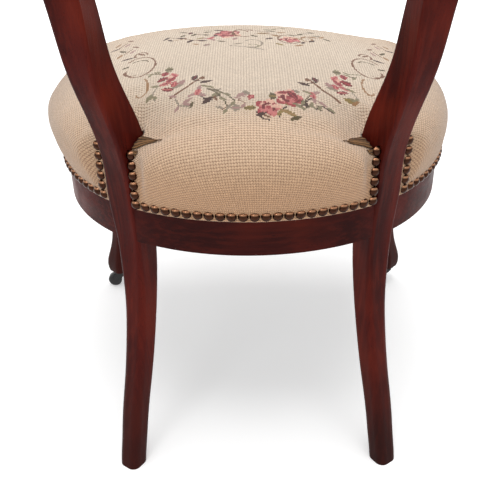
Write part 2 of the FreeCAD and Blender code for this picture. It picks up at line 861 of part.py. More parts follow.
def domed_nail():
    """A domed nail with its head's rim at zero, its dome up and its shank down."""
    rim = size("nail_head") / 2
    dome = size("nail_dome")
    sphere = bow_radius(rim, dome)
    half = math.asin(rim / sphere) / 2
    shoulder = (sphere * math.sin(half), dome - sphere + sphere * math.cos(half))
    shank = size("nail_shank") / 2
    length = size("nail_length")
    point = length * size("point_share")
    return revolved([(0, dome), (rim, 0), (shank, 0), (shank, -point), (0, -length)], shoulder)


def tack():
    """A flat tack with its head's underside at zero and its shank up."""
    head = size("tack_head") / 2
    shank = size("tack_shank") / 2
    length = size("tack_length")
    thick = size("dust_cover_thick")
    point = length * size("point_share")
    return revolved([(0, -thick), (head, -thick), (head, 0), (shank, 0), (shank, point), (0, length)])


def wood_screw(diameter, length, head):
    """A countersunk screw with its head's top at zero and its point along +Z."""
    sink = (head - diameter) / 2
    radius = diameter / 2
    return revolved([(0, 0), (head / 2, 0), (radius, sink), (radius, length - diameter),
                     (0, length)])


def aimed(shape, point, direction):
    """A copy of a shape with its Z axis laid along a direction, at a point."""
    copy = shape.copy()
    copy.Placement = FreeCAD.Placement(point, FreeCAD.Rotation(UP, direction))
    return copy


def group(label, solids):
    """Identical loose pieces as one sub-part made of separate solids."""
    return solid_piece(label, Part.Compound(solids))


# ---------------------------------------------------------------- corner blocks

def block_places():
    """For each left corner: name, inner corner point and outward direction."""
    points = plan_points(size("rail_thickness") + size("glue_line"))[0]
    turn = math.radians(size("rear_seat_turn"))
    return [
        ("rear", points["rear"], V(math.sin(turn), math.cos(turn), 0)),
        ("front", points["corner"], leg_direction()),
    ]


def corner_blocks(tools):
    """Glue blocks across the inner corners, cut around the legs, each with two screws."""
    middle = size("rail_bottom") + size("rail_depth") / 2
    height = size("block_height")
    reach = size("block_reach")
    slab = plan_slab(middle - height / 2, middle + height / 2,
                     size("rail_thickness") + size("glue_line"))
    screw = wood_screw(size("block_screw_diameter"), size("block_screw_length"),
                       size("block_screw_head"))
    screws = []
    for name, corner, outward in block_places():
        base = corner - outward * reach
        width = size("block_width")
        box = Part.makeBox(width, 2 * reach, 2 * height, V(-width / 2, 0, -height))
        box.Placement = FreeCAD.Placement(base + V(0, 0, middle),
                                          FreeCAD.Rotation(V(0, 1, 0), outward))
        block = slab.common(box).cut(Part.Compound(tools))
        solid = max(block.Solids, key=lambda item: item.Volume)
        keep_block = solid_piece(f"{name}_corner_block_left", solid)
        mirror_piece(f"{name}_corner_block_right", keep_block)
        for side in (-1, 1):
            start = base + V(0, 0, middle + side * size("block_screw_spread") * height)
            screws.extend(both_sides(aimed(screw, start, outward)))
    group("corner_block_screws", screws)


# ---------------------------------------------------------------- webbing and dust cover

def edge_at_x(x, inset):
    """The two outline points at a given x: on the back arc and on the front arc."""
    circles = plan_points(inset)[1]
    back = circles["back"]
    front = circles["front"]
    return [V(x, back.y + math.sqrt(back.radius ** 2 - x ** 2), 0),
            V(x, front.y - math.sqrt(front.radius ** 2 - x ** 2), 0)]


def edge_at_y(y, inset):
    """The two outline points at a given y: on the left and on the right side."""
    circles = plan_points(inset)[1]
    side = circles["rear_side" if y > size("seat_widest_back") else "front_side"]
    left = V(side.x + math.sqrt(side.radius ** 2 - (y - side.y) ** 2), y, 0)
    return [left, mirrored(left)]


def strap_steps(pitch):
    """Places of the straps to both sides of the middle one way, a pitch apart."""
    count = int(size("webbing_straps"))
    return [(step - (count - 1) / 2) * pitch for step in range(count)]


def webbing(tools):
    """Straps each way under the rails, with three tacks at each end."""
    wide = size("webbing_wide")
    thick = size("webbing_thick")
    gap = size("layer_gap")
    long = 4 * size("seat_half_width")
    upper = size("rail_bottom") - gap - thick
    lower = upper - gap - thick
    middle = size("seat_widest_back") - size("webbing_setback")
    outermost = leg_centre().x - size("webbing_beside_leg")
    to_back = strap_steps(2 * outermost / (size("webbing_straps") - 1))
    to_side = strap_steps(size("webbing_pitch"))
    tacks = []
    layers = {
        "webbing_front_to_back": (upper, [V(step, 0, 0) for step in to_back], wide, long),
        "webbing_side_to_side": (lower, [V(0, middle + step, 0) for step in to_side], long, wide),
    }
    for label, (level, middles, x, y) in layers.items():
        slab = plan_slab(level, level + thick, size("webbing_edge")).cut(Part.Compound(tools))
        straps = []
        for point in middles:
            box = Part.makeBox(x, y, thick, V(point.x - x / 2, point.y - y / 2, level))
            straps.append(max(slab.common(box).Solids, key=lambda item: item.Volume))
            for side in (-1, 0, 1):
                inset = size("webbing_edge") + size("tack_head")
                off = side * size("webbing_tack_spread") * wide
                if x < y:
                    ends = edge_at_x(point.x + off, inset)
                else:
                    ends = edge_at_y(point.y + off, inset)
                tacks.extend(aimed(tack(), end + V(0, 0, level), UP) for end in ends)
        group(label, straps)
    group("webbing_tacks", tacks)


def dust_cover(tools):
    """The black cloth that closes the seat from below, and the tacks around its edge."""
    thick = size("dust_cover_thick")
    level = size("rail_bottom") - 2 * (size("webbing_thick") + size("layer_gap")) \
        - 2 * thick - size("layer_gap")
    slab = plan_slab(level, level + thick, size("dust_cover_edge")).cut(Part.Compound(tools))
    solid_piece("dust_cover", max(slab.Solids, key=lambda item: item.Volume))
    wire = outline_wire(level, size("rail_thickness") - size("tack_head"))
    count = int(wire.Length / size("dust_tack_pitch"))
    clear = size("front_rail_edge_deep")
    level = size("rail_bottom")
    corners = [leg_centre(), front_placement(level).Base]
    corners.extend([mirrored(corner) for corner in corners])
    places = []
    for point in wire.discretize(Number=count + 1)[:-1]:
        nearest = min(math.hypot(point.x - corner.x, point.y - corner.y) for corner in corners)
        if nearest > clear:
            places.append(aimed(tack(), point, UP))
    group("dust_cover_tacks", places)


# ---------------------------------------------------------------- springs and stuffing

def rounded_path(points):
    """Straight runs joined by tangent arcs, each as large as its two runs allow."""
    edges = []
    start = points[0]
    for before, corner, after in zip(points, points[1:], points[2:]):
        back = before - corner
        ahead = after - corner
        run = size("wire_bend_share") * min(back.Length, ahead.Length)
        back.Length = run
        ahead.Length = run
        radius = run / math.tan((math.pi - back.getAngle(ahead)) / 2)
        inward = back + ahead
        inward.Length = math.hypot(radius, run) - radius
        edges.append(Part.LineSegment(start, corner + back).toShape())
        edges.append(Part.Arc(corner + back, corner + inward, corner + ahead).toShape())
        start = corner + ahead
    edges.append(Part.LineSegment(start, points[-1]).toShape())
    return Part.Wire(edges)


def coil_spring():
    """A double-cone spring standing on zero, wound from ten runs to a turn."""
    turns = size("spring_turns")
    per_turn = 10
    steps = int(turns * per_turn)
    wire = size("spring_wire")
    rise = size("spring_height")
    points = []
    for step in range(steps + 1):
        share = step / steps
        radius = size("spring_waist_radius") + abs(2 * share - 1) \
            * (size("spring_end_radius") - size("spring_waist_radius"))
        angle = 2 * math.pi * step / per_turn
        points.append(V(radius * math.cos(angle), radius * math.sin(angle), wire / 2 + rise * share))
    path = rounded_path(points)
    first = path.Edges[0]
    profile = Part.Wire(Part.makeCircle(wire / 2, points[0], first.tangentAt(first.FirstParameter)))
    return path.makePipeShell([profile], True, False, 2)


def spring_places():
    """Five springs: one in the middle and one towards each corner."""
    pitch = size("spring_pitch")
    middle = V(0, size("seat_widest_back"), size("rail_bottom"))
    corners = [V(x * pitch, y * pitch, 0) for x in (-1, 1) for y in (-1, 1)]
    return [middle] + [middle + corner for corner in corners]


def springs():
    spring = coil_spring()
    solids = []
    for place in spring_places():
        copy = spring.copy()
        copy.translate(place)
        solids.append(copy)
    group("coil_springs", solids)


def ruled_solid(wires):
    return Part.makeLoft(wires, True, True)


def canvas_solid(growth):
    """The space under the spring canvas, grown outwards."""
    lift = size("spring_height") + size("spring_wire") - size("rail_depth")
    return ruled_solid([
        outline_wire(rail_top() + size("layer_gap"), size("rail_thickness") / 2 - growth),
        outline_wire(rail_top() + lift + size("layer_gap") * 2 + growth, 0.0, size("canvas_top_share")),
    ])


def spring_canvas(tools):
    """Hessian stretched over the springs and down to the tops of the rails."""
    shell = canvas_solid(size("canvas_thick")).cut(canvas_solid(0.0)).cut(Part.Compound(tools))
    solid_piece("spring_canvas", max(shell.Solids, key=lambda item: item.Volume))


# ---------------------------------------------------------------- cover

def cover_skin():
    """How far the cover's outer side stands off the rails at its hem."""
    return size("cover_thick") + size("layer_gap")


def cover_profile():
    """Outer profile of the covered seat: (outwards from the rails, height above their top)."""
    skin = cover_skin()
    hem = size("cover_hem")
    points = [(skin, -hem), (skin + size("cover_rise"), -hem * size("cover_rise_share"))]
    for place, (out, up) in enumerate(COVER_PROFILE):
        start = skin if place == 0 else 0.0
        points.append((start + out * size("cover_bulge"), up * size("cover_dome")))
    return points


def inward_profile(distance):
    """The same profile moved inwards by a distance, square to its own slope."""
    points = cover_profile()
    moved = []
    for place, (out, height) in enumerate(points):
        before = points[max(place - 1, 0)]
        after = points[min(place + 1, len(points) - 1)]
        run = math.hypot(after[0] - before[0], after[1] - before[1])
        normal = ((after[1] - before[1]) / run, -(after[0] - before[0]) / run)
        moved.append((out - normal[0] * distance, height - normal[1] * distance))
    return moved


def dome_solid(distance):
    """The solid inside the cover's outer profile, moved inwards, and open past the hem."""
    points = inward_profile(distance)
    points.insert(0, (points[0][0], points[0][1] - distance - size("layer_gap")))
    wires = []
    for out, height in points:
        if out > 0:
            wires.append(outline_wire(rail_top() + height, -out))
        else:
            wires.append(outline_wire(rail_top() + height, 0.0, 1 + out / size("seat_half_width")))
    return ruled_solid(wires)


def profile_at(height):
    """How far out the cover stands at a height above the rails, and its slope there."""
    points = cover_profile()
    for (out_a, low), (out_b, high) in zip(points, points[1:]):
        if low <= height <= high:
            share = (height - low) / (high - low)
            run = math.hypot(out_b - out_a, high - low)
            return out_a + share * (out_b - out_a), (high - low) / run, -(out_b - out_a) / run
    return points[0][0], 1.0, 0.0


def stile_bands(growth):
    """Both stiles from below the hem to above the dome, grown, and open to the outside."""
    margin = size("tool_margin")
    low = rail_top() - size("cover_hem") - margin
    return rear_leg_tools(growth, low, rail_top() + size("cover_dome"), margin)


def recess_out():
    """How far out the cover stands where it is pulled flat beside the stiles."""
    return cover_skin() + size("recess_step")


def pulled_dome(distance):
    """The dome moved inwards, pulled flat beside the stiles where the nails climb."""
    low = rail_top() - size("cover_hem") - size("tool_margin")
    core = plan_slab(low, rail_top() + 2 * size("cover_dome"), distance - recess_out())
    growth = size("cover_notch") + size("nail_head") + size("recess_margin") + distance
    recesses = [band.cut(core) for band in stile_bands(growth)]
    return dome_solid(distance).cut(Part.Compound(recesses))


def seat_cover(tools):
    """Needlework cover: a skin over the stuffing, turned down over the rails to its hem."""
    skin = pulled_dome(0.0).cut(pulled_dome(size("cover_thick")))
    skin = skin.cut(Part.Compound(tools))
    solid_piece("seat_cover", max(skin.Solids, key=lambda item: item.Volume))


def seat_stuffing(tools):
    """Horsehair stuffing between the spring canvas and the cover."""
    clear = size("stuffing_clearance")
    inner = size("cover_thick") + clear
    width = 4 * size("seat_half_width")
    below = Part.makeBox(width, width, width, V(-width / 2, -width / 2, rail_top() + clear - width))
    hollow = canvas_solid(size("canvas_thick") + clear)
    solid = pulled_dome(inner).cut(Part.Compound([below, hollow, *tools]))
    solid_piece("seat_stuffing", max(solid.Solids, key=lambda item: item.Volume))


# ---------------------------------------------------------------- nails

def run_places(curves, start, end, pitch):
    """Evenly spaced points along a chain of arcs, with the outward direction at each."""
    edges = [curve.toShape() for curve in curves]
    total = sum(edge.Length for edge in edges)
    count = int((total - start - end) / pitch)
    step = (total - start - end) / count
    places = []
    for number in range(count + 1):
        distance = start + number * step
        for edge in edges:
            if distance <= edge.Length or edge is edges[-1]:
                break
            distance -= edge.Length
        parameter = edge.getParameterByLength(min(distance, edge.Length))
        tangent = edge.tangentAt(parameter)
        outward = V(tangent.y, -tangent.x, 0)
        point = edge.valueAt(parameter)
        if outward.dot(point) < 0:
            outward = outward * -1
        places.append((point, outward))
    return places


def nail_at(place, height):
    """A nail of the row along the rails, at a height above the top of the rails."""
    point, outward = place
    out, across, along = profile_at(height)
    return aimed(domed_nail(), point + outward * out + V(0, 0, rail_top() + height),
                 outward * across + UP * along)


def climbing_nails(place, first, pitch):
    """A column of nails beside a stile, above the row along the rails."""
    point, outward = place
    foot = point + outward * recess_out() + V(0, 0, rail_top() + first)
    count = int(size("nails_beside_stile"))
    return [aimed(domed_nail(), foot + UP * pitch * step, outward) for step in range(1, count + 1)]


def nails():
    """Rows along the rails and columns up both sides of each stile."""
    pitch = size("nail_head") + size("nail_gap")
    row = size("nail_row") - size("rail_depth")
    beside = size("rear_seat_wide") / 2 + size("cover_notch") + size("nail_head") / 2
    back = run_places([crossing_arc("back", 0)], beside, beside, pitch)
    around = run_places(outline_arcs(), beside, beside, pitch)
    group("back_nails", [nail_at(place, row) for place in back])
    group("side_and_front_nails", [nail_at(place, row) for place in around])
    for side, columns in (("left", (back[-1], around[0])), ("right", (back[0], around[-1]))):
        climbing = [nail for column in columns for nail in climbing_nails(column, row, pitch)]
        group(f"stile_nails_{side}", climbing)


# ---------------------------------------------------------------- castors

def castor_centre():
    """The axis of the left castor's pintle, in plan."""
    return front_corner() + V(size("castor_splay_out"), -size("castor_splay_forward"), 0)


def castor_heights():
    fork_bottom = size("wheel_diameter") + size("fork_wheel_gap")
    fork_top = fork_bottom + size("fork_top")
    plate_bottom = fork_top + size("plate_gap")
    return fork_bottom, fork_top, plate_bottom


def castor_plate(centre):
    """Round plate with the pintle under it, riveted over below the fork."""
    fork_bottom, _, plate_bottom = castor_heights()
    plate = size("plate_diameter") / 2
    pin = size("pintle_diameter") / 2
    head = size("pintle_head") / 2
    head_top = fork_bottom - size("plate_gap")
    shape = revolved([
        (0, plate_top()), (plate, plate_top()), (plate, plate_bottom), (pin, plate_bottom),
        (pin, head_top), (head, head_top), (head, head_top - size("pintle_head_thick")),
        (0, head_top - size("pintle_head_thick")),
    ])
    shape.translate(centre)
    return shape


def castor_screws(centre):
    """Three countersunk screws up through the plate into the foot."""
    plate_bottom = castor_heights()[2]
    screw = wood_screw(size("castor_screw_diameter"), size("castor_screw_length"),
                       size("castor_screw_head"))
    radius = size("castor_screw_circle") / 2
    screws = []
    for number in range(3):
        angle = 2 * math.pi * number / 3
        place = centre + V(radius * math.cos(angle), radius * math.sin(angle), plate_bottom)
        screws.append(aimed(screw, place, UP))
    return screws


def castor_fork(centre):
    """Fork that turns on the pintle and trails its wheel to one side."""
    fork_bottom, fork_top, _ = castor_heights()
    half = size("fork_half_length")
    trail = size("castor_trail")
    hub = size("wheel_diameter") / 2
    boss = size("fork_boss")
    inner = size("wheel_width") / 2 + size("fork_side_gap")
    outer = inner + size("fork_cheek")
    slant = boss * math.sqrt(0.5)
    edges = [
        Part.LineSegment(V(-half, 0, fork_top), V(-half, 0, fork_bottom)),
        Part.LineSegment(V(-half, 0, fork_bottom), V(trail - slant, 0, hub - slant)),
        Part.Arc(V(trail - slant, 0, hub - slant), V(trail + slant, 0, hub - slant),
                 V(trail + slant, 0, hub + slant)),
        Part.LineSegment(V(trail + slant, 0, hub + slant), V(half, 0, fork_bottom)),
        Part.LineSegment(V(half, 0, fork_bottom), V(half, 0, fork_top)),
        Part.LineSegment(V(half, 0, fork_top), V(-half, 0, fork_top)),
    ]
    face = Part.Face(Part.Wire([edge.toShape() for edge in edges]))
    block = face.extrude(V(0, 2 * outer, 0))
    block.translate(V(0, -outer, 0))
    slot = Part.makeBox(8 * half, 2 * inner, fork_bottom, V(-4 * half, -inner, 0))
    pin_hole = Part.makeCylinder(size("pintle_diameter") / 2 + size("pintle_fit"), 3 * fork_top)
    axle_hole = Part.makeCylinder(size("axle_diameter") / 2, 4 * outer, V(trail, -2 * outer, hub),
                                  V(0, 1, 0))
    fork = block.cut(Part.Compound([slot, pin_hole, axle_hole]))
    fork.translate(centre)
    return fork


def castor_axle(centre):
    outer = size("wheel_width") / 2 + size("fork_side_gap") + size("fork_cheek")
    start = centre + V(size("castor_trail"), -outer, size("wheel_diameter") / 2)
    return Part.makeCylinder(size("axle_diameter") / 2, 2 * outer, start, V(0, 1, 0))


def castor_wheel(centre):
    """Wheel with rounded rims, bored for its axle."""
    radius = size("wheel_diameter") / 2
    half = size("wheel_width") / 2
    edge = size("wheel_round")
    bore = size("axle_diameter") / 2 + size("axle_fit")
    disc = Part.makeCylinder(radius, 2 * half, V(0, -half, 0), V(0, 1, 0))
    rims = [item for item in disc.Edges if item.Closed and item.Curve.Radius == radius]
    disc = disc.makeFillet(edge, rims)
    disc = disc.cut(Part.makeCylinder(bore, 4 * half, V(0, -2 * half, 0), V(0, 1, 0)))
    disc.translate(centre + V(size("castor_trail"), 0, radius))
    return disc


def castors():
    """A castor under each front foot, both trailing to the sitter's left."""
    for side, centre in (("left", castor_centre()), ("right", mirrored(castor_centre()))):
        solid_piece(f"castor_plate_{side}", castor_plate(centre))
        group(f"castor_screws_{side}", castor_screws(centre))
        solid_piece(f"castor_fork_{side}", castor_fork(centre))
        solid_piece(f"castor_axle_{side}", castor_axle(centre))
        solid_piece(f"castor_wheel_{side}", castor_wheel(centre))


# ---------------------------------------------------------------- assembly

def legs(holes):
    """Both rear legs and both front legs, bored for the dowels of their joints."""
    rear = cut_piece("rear_leg_left", lofted_leg(rear_profile(), rear_placement), holes)
    keep("rear_leg_left", rear)
    mirror_piece("rear_leg_right", rear)
    front = cut_piece("front_leg_left", lofted_leg(front_profile(), front_placement),
                      [*holes, hem_trim()])
    keep("front_leg_left", front)
    mirror_piece("front_leg_right", front)


def check_pieces():
    """Stop if any object failed or any sub-part has no sound solid."""
    for thing in doc.Objects:
        if "Invalid" in thing.State or "Error" in thing.State:
            raise RuntimeError(f"{thing.Label} did not build: {thing.State}")
    for label, thing in pieces.items():
        shape = thing.Shape
        if shape.isNull() or not shape.isValid() or not shape.Solids:
            raise RuntimeError(f"{label} has no sound solid")


def centre_pieces():
    """Move every sub-part so that the origin is under the middle of the bounding box."""
    box = FreeCAD.BoundBox()
    for thing in pieces.values():
        box.add(thing.Shape.optimalBoundingBox(False, False))
    shift = V(-(box.XMin + box.XMax) / 2, -(box.YMin + box.YMax) / 2, 0)
    for thing in pieces.values():
        move = FreeCAD.Placement(shift, FreeCAD.Rotation())
        thing.Placement = move.multiply(thing.Placement)
    return shift, box


def export_pieces():
    os.makedirs("parts", exist_ok=True)
    for label, thing in pieces.items():
        thing.Shape.exportStep(f"parts/{label}.step")


def main():
    fill_sheet()
    fit = size("dowel_fit")
    deep = size("dowel_end_gap")
    legs(joint_dowels(fit, deep) + crest_dowels(fit, deep) + mid_rail_dowels(fit, deep))
    tools = seat_leg_tools()
    seat_rails(tools, joint_dowels(fit, deep))
    crest_rail(crest_dowels(fit, deep))
    mid_rail(mid_rail_dowels(fit, deep))
    group("seat_rail_dowels", joint_dowels())
    group("crest_rail_dowels", crest_dowels())
    group("mid_rail_dowels", mid_rail_dowels())
    corner_blocks(tools)
    webbing(tools)
    dust_cover(tools)
    springs()
    stiles = stile_bands(size("cover_notch"))
    spring_canvas(stiles)
    seat_stuffing(stiles)
    seat_cover(stiles)
    nails()
    castors()
    doc.recompute()
    check_pieces()
    shift, box = centre_pieces()
    export_pieces()
    print(f"{len(pieces)} sub-parts, box {box.XLength:.1f} x {box.YLength:.1f} x {box.ZLength:.1f}")
    print(f"moved by x {shift.x:.3f}, y {shift.y:.3f}")


main()
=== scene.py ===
"""Balloon back chair: mahogany, needlework seat, antique nails and black castors.

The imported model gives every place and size. This script dresses its wood, brass and iron, and
models the stuffed needlework seat, whose cloth is simulated over the stuffing. All lengths are in
metres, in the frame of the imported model: +X to the sitter's left, +Y to the back, Z up.
"""

import json
import logging
import math
from dataclasses import dataclass
from enum import Enum

import bpy
import numpy as np
from mathutils import Matrix, Vector
from mathutils.bvhtree import BVHTree


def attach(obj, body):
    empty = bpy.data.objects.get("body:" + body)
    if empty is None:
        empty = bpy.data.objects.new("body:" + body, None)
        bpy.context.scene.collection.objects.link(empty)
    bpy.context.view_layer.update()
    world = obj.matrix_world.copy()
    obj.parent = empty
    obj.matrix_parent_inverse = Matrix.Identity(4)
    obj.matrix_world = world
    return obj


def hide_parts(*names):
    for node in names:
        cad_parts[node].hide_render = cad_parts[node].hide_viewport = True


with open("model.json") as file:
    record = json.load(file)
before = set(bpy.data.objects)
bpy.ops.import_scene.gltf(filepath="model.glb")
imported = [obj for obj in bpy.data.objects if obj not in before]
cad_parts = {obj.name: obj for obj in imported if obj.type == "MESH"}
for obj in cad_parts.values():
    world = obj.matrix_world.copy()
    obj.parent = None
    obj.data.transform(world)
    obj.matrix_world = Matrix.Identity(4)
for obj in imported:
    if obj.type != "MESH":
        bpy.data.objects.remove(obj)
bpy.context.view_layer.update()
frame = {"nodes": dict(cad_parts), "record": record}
LOG = logging.getLogger("chair")
SEAT_BODY = "chair_frame"
TINY = 1e-9


def linear_light(seen: np.ndarray) -> np.ndarray:
    """Turn colours as they are seen into linear light.

    Args:
        seen: Values from 0 to 255.

    Returns:
        The linear values, 0 to 1.
    """
    share = seen / 255
    return np.where(share <= 0.04045, share / 12.92, ((share + 0.055) / 1.055) ** 2.4)


def linear(red: float, green: float, blue: float) -> tuple[float, float, float]:
    """Turn one colour as it is seen into linear light.

    Args:
        red: Red, 0 to 255.
        green: Green, 0 to 255.
        blue: Blue, 0 to 255.

    Returns:
        The three linear values, 0 to 1.
    """
    return tuple(linear_light(np.array([red, green, blue])).tolist())


def smooth_step(low: float, high: float, values: np.ndarray) -> np.ndarray:
    """A smooth rise from 0 at low to 1 at high.

    Args:
        low: Where the rise starts.
        high: Where it ends.
        values: Where to read it.

    Returns:
        The height of the rise at each value.
    """
    share = np.clip((values - low) / (high - low), 0.0, 1.0)
    return share * share * (3 - 2 * share)


# ---------------------------------------------------------------- node trees


class Tree:
    """Short calls for filling a node tree."""

    def __init__(self, tree: bpy.types.NodeTree) -> None:
        """Work on a node tree.

        Args:
            tree: The tree of a material or of a node group.
        """
        self.tree = tree

    def node(self, kind: str, **settings: object) -> bpy.types.Node:
        """Add a node.

        Args:
            kind: Its type name.
            settings: Its properties.

        Returns:
            The node.
        """
        made = self.tree.nodes.new(kind)
        for name, value in settings.items():
            setattr(made, name, value)
        return made

    def feed(self, target: bpy.types.NodeSocket, value: object) -> None:
        """Link a socket into another one, or set its constant.

        Args:
            target: The socket that is fed.
            value: A socket, a number or a tuple.
        """
        if isinstance(value, bpy.types.NodeSocket):
            self.tree.links.new(value, target)
        else:
            target.default_value = value

    def math(self, operation: str, first: object, second: object = 0.0,
             third: object = 0.0) -> bpy.types.NodeSocket:
        """Reckon with up to three values.

        Args:
            operation: The operation's name.
            first: A socket or a number.
            second: A socket or a number.
            third: A socket or a number.

        Returns:
            The result's socket.
        """
        made = self.node("ShaderNodeMath", operation=operation)
        for place, value in enumerate((first, second, third)):
            self.feed(made.inputs[place], value)
        return made.outputs[0]

    def span(self, value: object, low: float, high: float, start: float,
             end: float) -> bpy.types.NodeSocket:
        """Map a value from one span to another, smoothly and within it.

        Args:
            value: A socket.
            low: Lower end of the span read.
            high: Upper end of the span read.
            start: Result at the lower end.
            end: Result at the upper end.

        Returns:
            The result's socket.
        """
        made = self.node("ShaderNodeMapRange", interpolation_type="SMOOTHSTEP")
        for place, number in enumerate((value, low, high, start, end)):
            self.feed(made.inputs[place], number)
        return made.outputs[0]

    def mix(self, share: object, first: object, second: object,
            blend: str = "MIX") -> bpy.types.NodeSocket:
        """Mix two colours.

        Args:
            share: How much of the second colour.
            first: A colour or a socket.
            second: A colour or a socket.
            blend: The way they mix.

        Returns:
            The mixed colour's socket.
        """
        made = self.node("ShaderNodeMix", data_type="RGBA", blend_type=blend)
        self.feed(made.inputs[0], share)
        for place, value in ((6, first), (7, second)):
            self.feed(made.inputs[place], (*value, 1.0) if isinstance(value, tuple) else value)
        return made.outputs[2]

    def noise(self, vector: object, scale: float, detail: float = 3.0) -> bpy.types.NodeSocket:
        """Noise between 0 and 1.

        Args:
            vector: Where to read it.
            scale: How fine it is.
            detail: Its octaves.

        Returns:
            The noise's socket.
        """
        made = self.node("ShaderNodeTexNoise")
        self.feed(made.inputs["Vector"], vector)
        made.inputs["Scale"].default_value = scale
        made.inputs["Detail"].default_value = detail
        return made.outputs[0]

    def stretched(self, vector: object, scale: tuple) -> bpy.types.NodeSocket:
        """Scale a vector.

        Args:
            vector: The vector's socket.
            scale: Three factors.

        Returns:
            The scaled vector's socket.
        """
        made = self.node("ShaderNodeVectorMath", operation="MULTIPLY")
        self.feed(made.inputs[0], vector)
        made.inputs[1].default_value = scale
        return made.outputs[0]


class Group(Tree):
    """A shared node group with named inputs and outputs."""

    def __init__(self, name: str, inputs: dict[str, str], outputs: dict[str, str]) -> None:
        """Make an empty group.

        Args:
            name: The group's name.
            inputs: Socket type for each input's name.
            outputs: Socket type for each output's name.
        """
        super().__init__(bpy.data.node_groups.new(name, "ShaderNodeTree"))
        for way, sockets in (("INPUT", inputs), ("OUTPUT", outputs)):
            for label, kind in sockets.items():
                self.tree.interface.new_socket(label, in_out=way, socket_type=f"NodeSocket{kind}")
        self.source = self.node("NodeGroupInput")
        self.result = self.node("NodeGroupOutput")

    def used(self, tree: Tree, **values: object) -> bpy.types.Node:
        """Put the group into a tree.

        Args:
            tree: Where to use it.
            values: What feeds its inputs.

        Returns:
            The group's node.
        """
        made = tree.node("ShaderNodeGroup", node_tree=self.tree)
        for label, value in values.items():
            tree.feed(made.inputs[label], value)
        return made


class Finish(Tree):
    """A material around one Principled shader."""

    def __init__(self, name: str) -> None:
        """Start a material.

        Args:
            name: The material's name.
        """
        self.material = bpy.data.materials.new(name)
        self.material.use_nodes = True
        super().__init__(self.material.node_tree)
        self.principled = self.tree.nodes["Principled BSDF"]

    def set(self, **values: object) -> None:
        """Feed the Principled shader, sockets named with underscores.

        Args:
            values: A socket, a number or a colour for each name.
        """
        for name, value in values.items():
            socket = self.principled.inputs[name.replace("_", " ")]
            self.feed(socket, (*value, 1.0) if isinstance(value, tuple) else value)

    def bump(self, height: object, distance: float, strength: float) -> None:
        """Turn a height into a normal and use it.

        Args:
            height: The height's socket, 0 to 1.
            distance: Real height of 1.
            strength: Share of the effect.
        """
        made = self.node("ShaderNodeBump")
        made.inputs["Strength"].default_value = strength
        made.inputs["Distance"].default_value = distance
        self.feed(made.inputs["Height"], height)
        self.set(Normal=made.outputs[0])


# ---------------------------------------------------------------- wood


class Grain(Enum):
    """Which way the grain of a piece runs, as the factors that stretch its pattern."""

    UPRIGHT = (1.0, 1.0, 0.04)
    ACROSS = (0.04, 1.0, 1.0)
    ALONG = (1.0, 0.04, 1.0)


@dataclass(frozen=True)
class Polish:
    """French-polished mahogany.

    Each span is the part of a noise, 0 to 1, over which a mark fades in. The span of the darkening towards
    the floor is a height.
    """

    light: tuple = linear(110, 37, 24)
    middle: tuple = linear(76, 20, 15)
    dark: tuple = linear(52, 13, 11)
    pore: tuple = linear(26, 7, 6)
    glow: tuple = linear(112, 36, 20)
    # Colour that the wood darkens to towards the floor, by height alone.
    grime: tuple = linear(40, 16, 13)
    figure_scale: float = 26.0
    figure_span: tuple = (0.36, 0.64)
    line_scale: float = 210.0
    line_span: tuple = (0.42, 0.68)
    line_share: float = 0.25
    pore_scale: float = 1500.0
    pore_span: tuple = (0.60, 0.74)
    pore_share: float = 0.7
    pore_depth: float = 0.00012
    pore_strength: float = 0.6
    glow_scale: float = 8.0
    glow_span: tuple = (0.46, 0.72)
    glow_share: float = 0.5
    grime_span: tuple = (0.02, 0.2)
    grime_share: float = 0.7
    mark_scale: float = 34.0
    mark_span: tuple = (0.35, 0.7)
    mark_roughness: float = 0.16
    roughness: float = 0.34
    specular: float = 0.035
    coat: float = 0.05
    coat_roughness: float = 0.12


@dataclass(frozen=True)
class BareWood:
    """Unpolished beech."""

    colour: tuple = linear(196, 160, 116)
    shade: float = 0.62
    roughness: float = 0.7


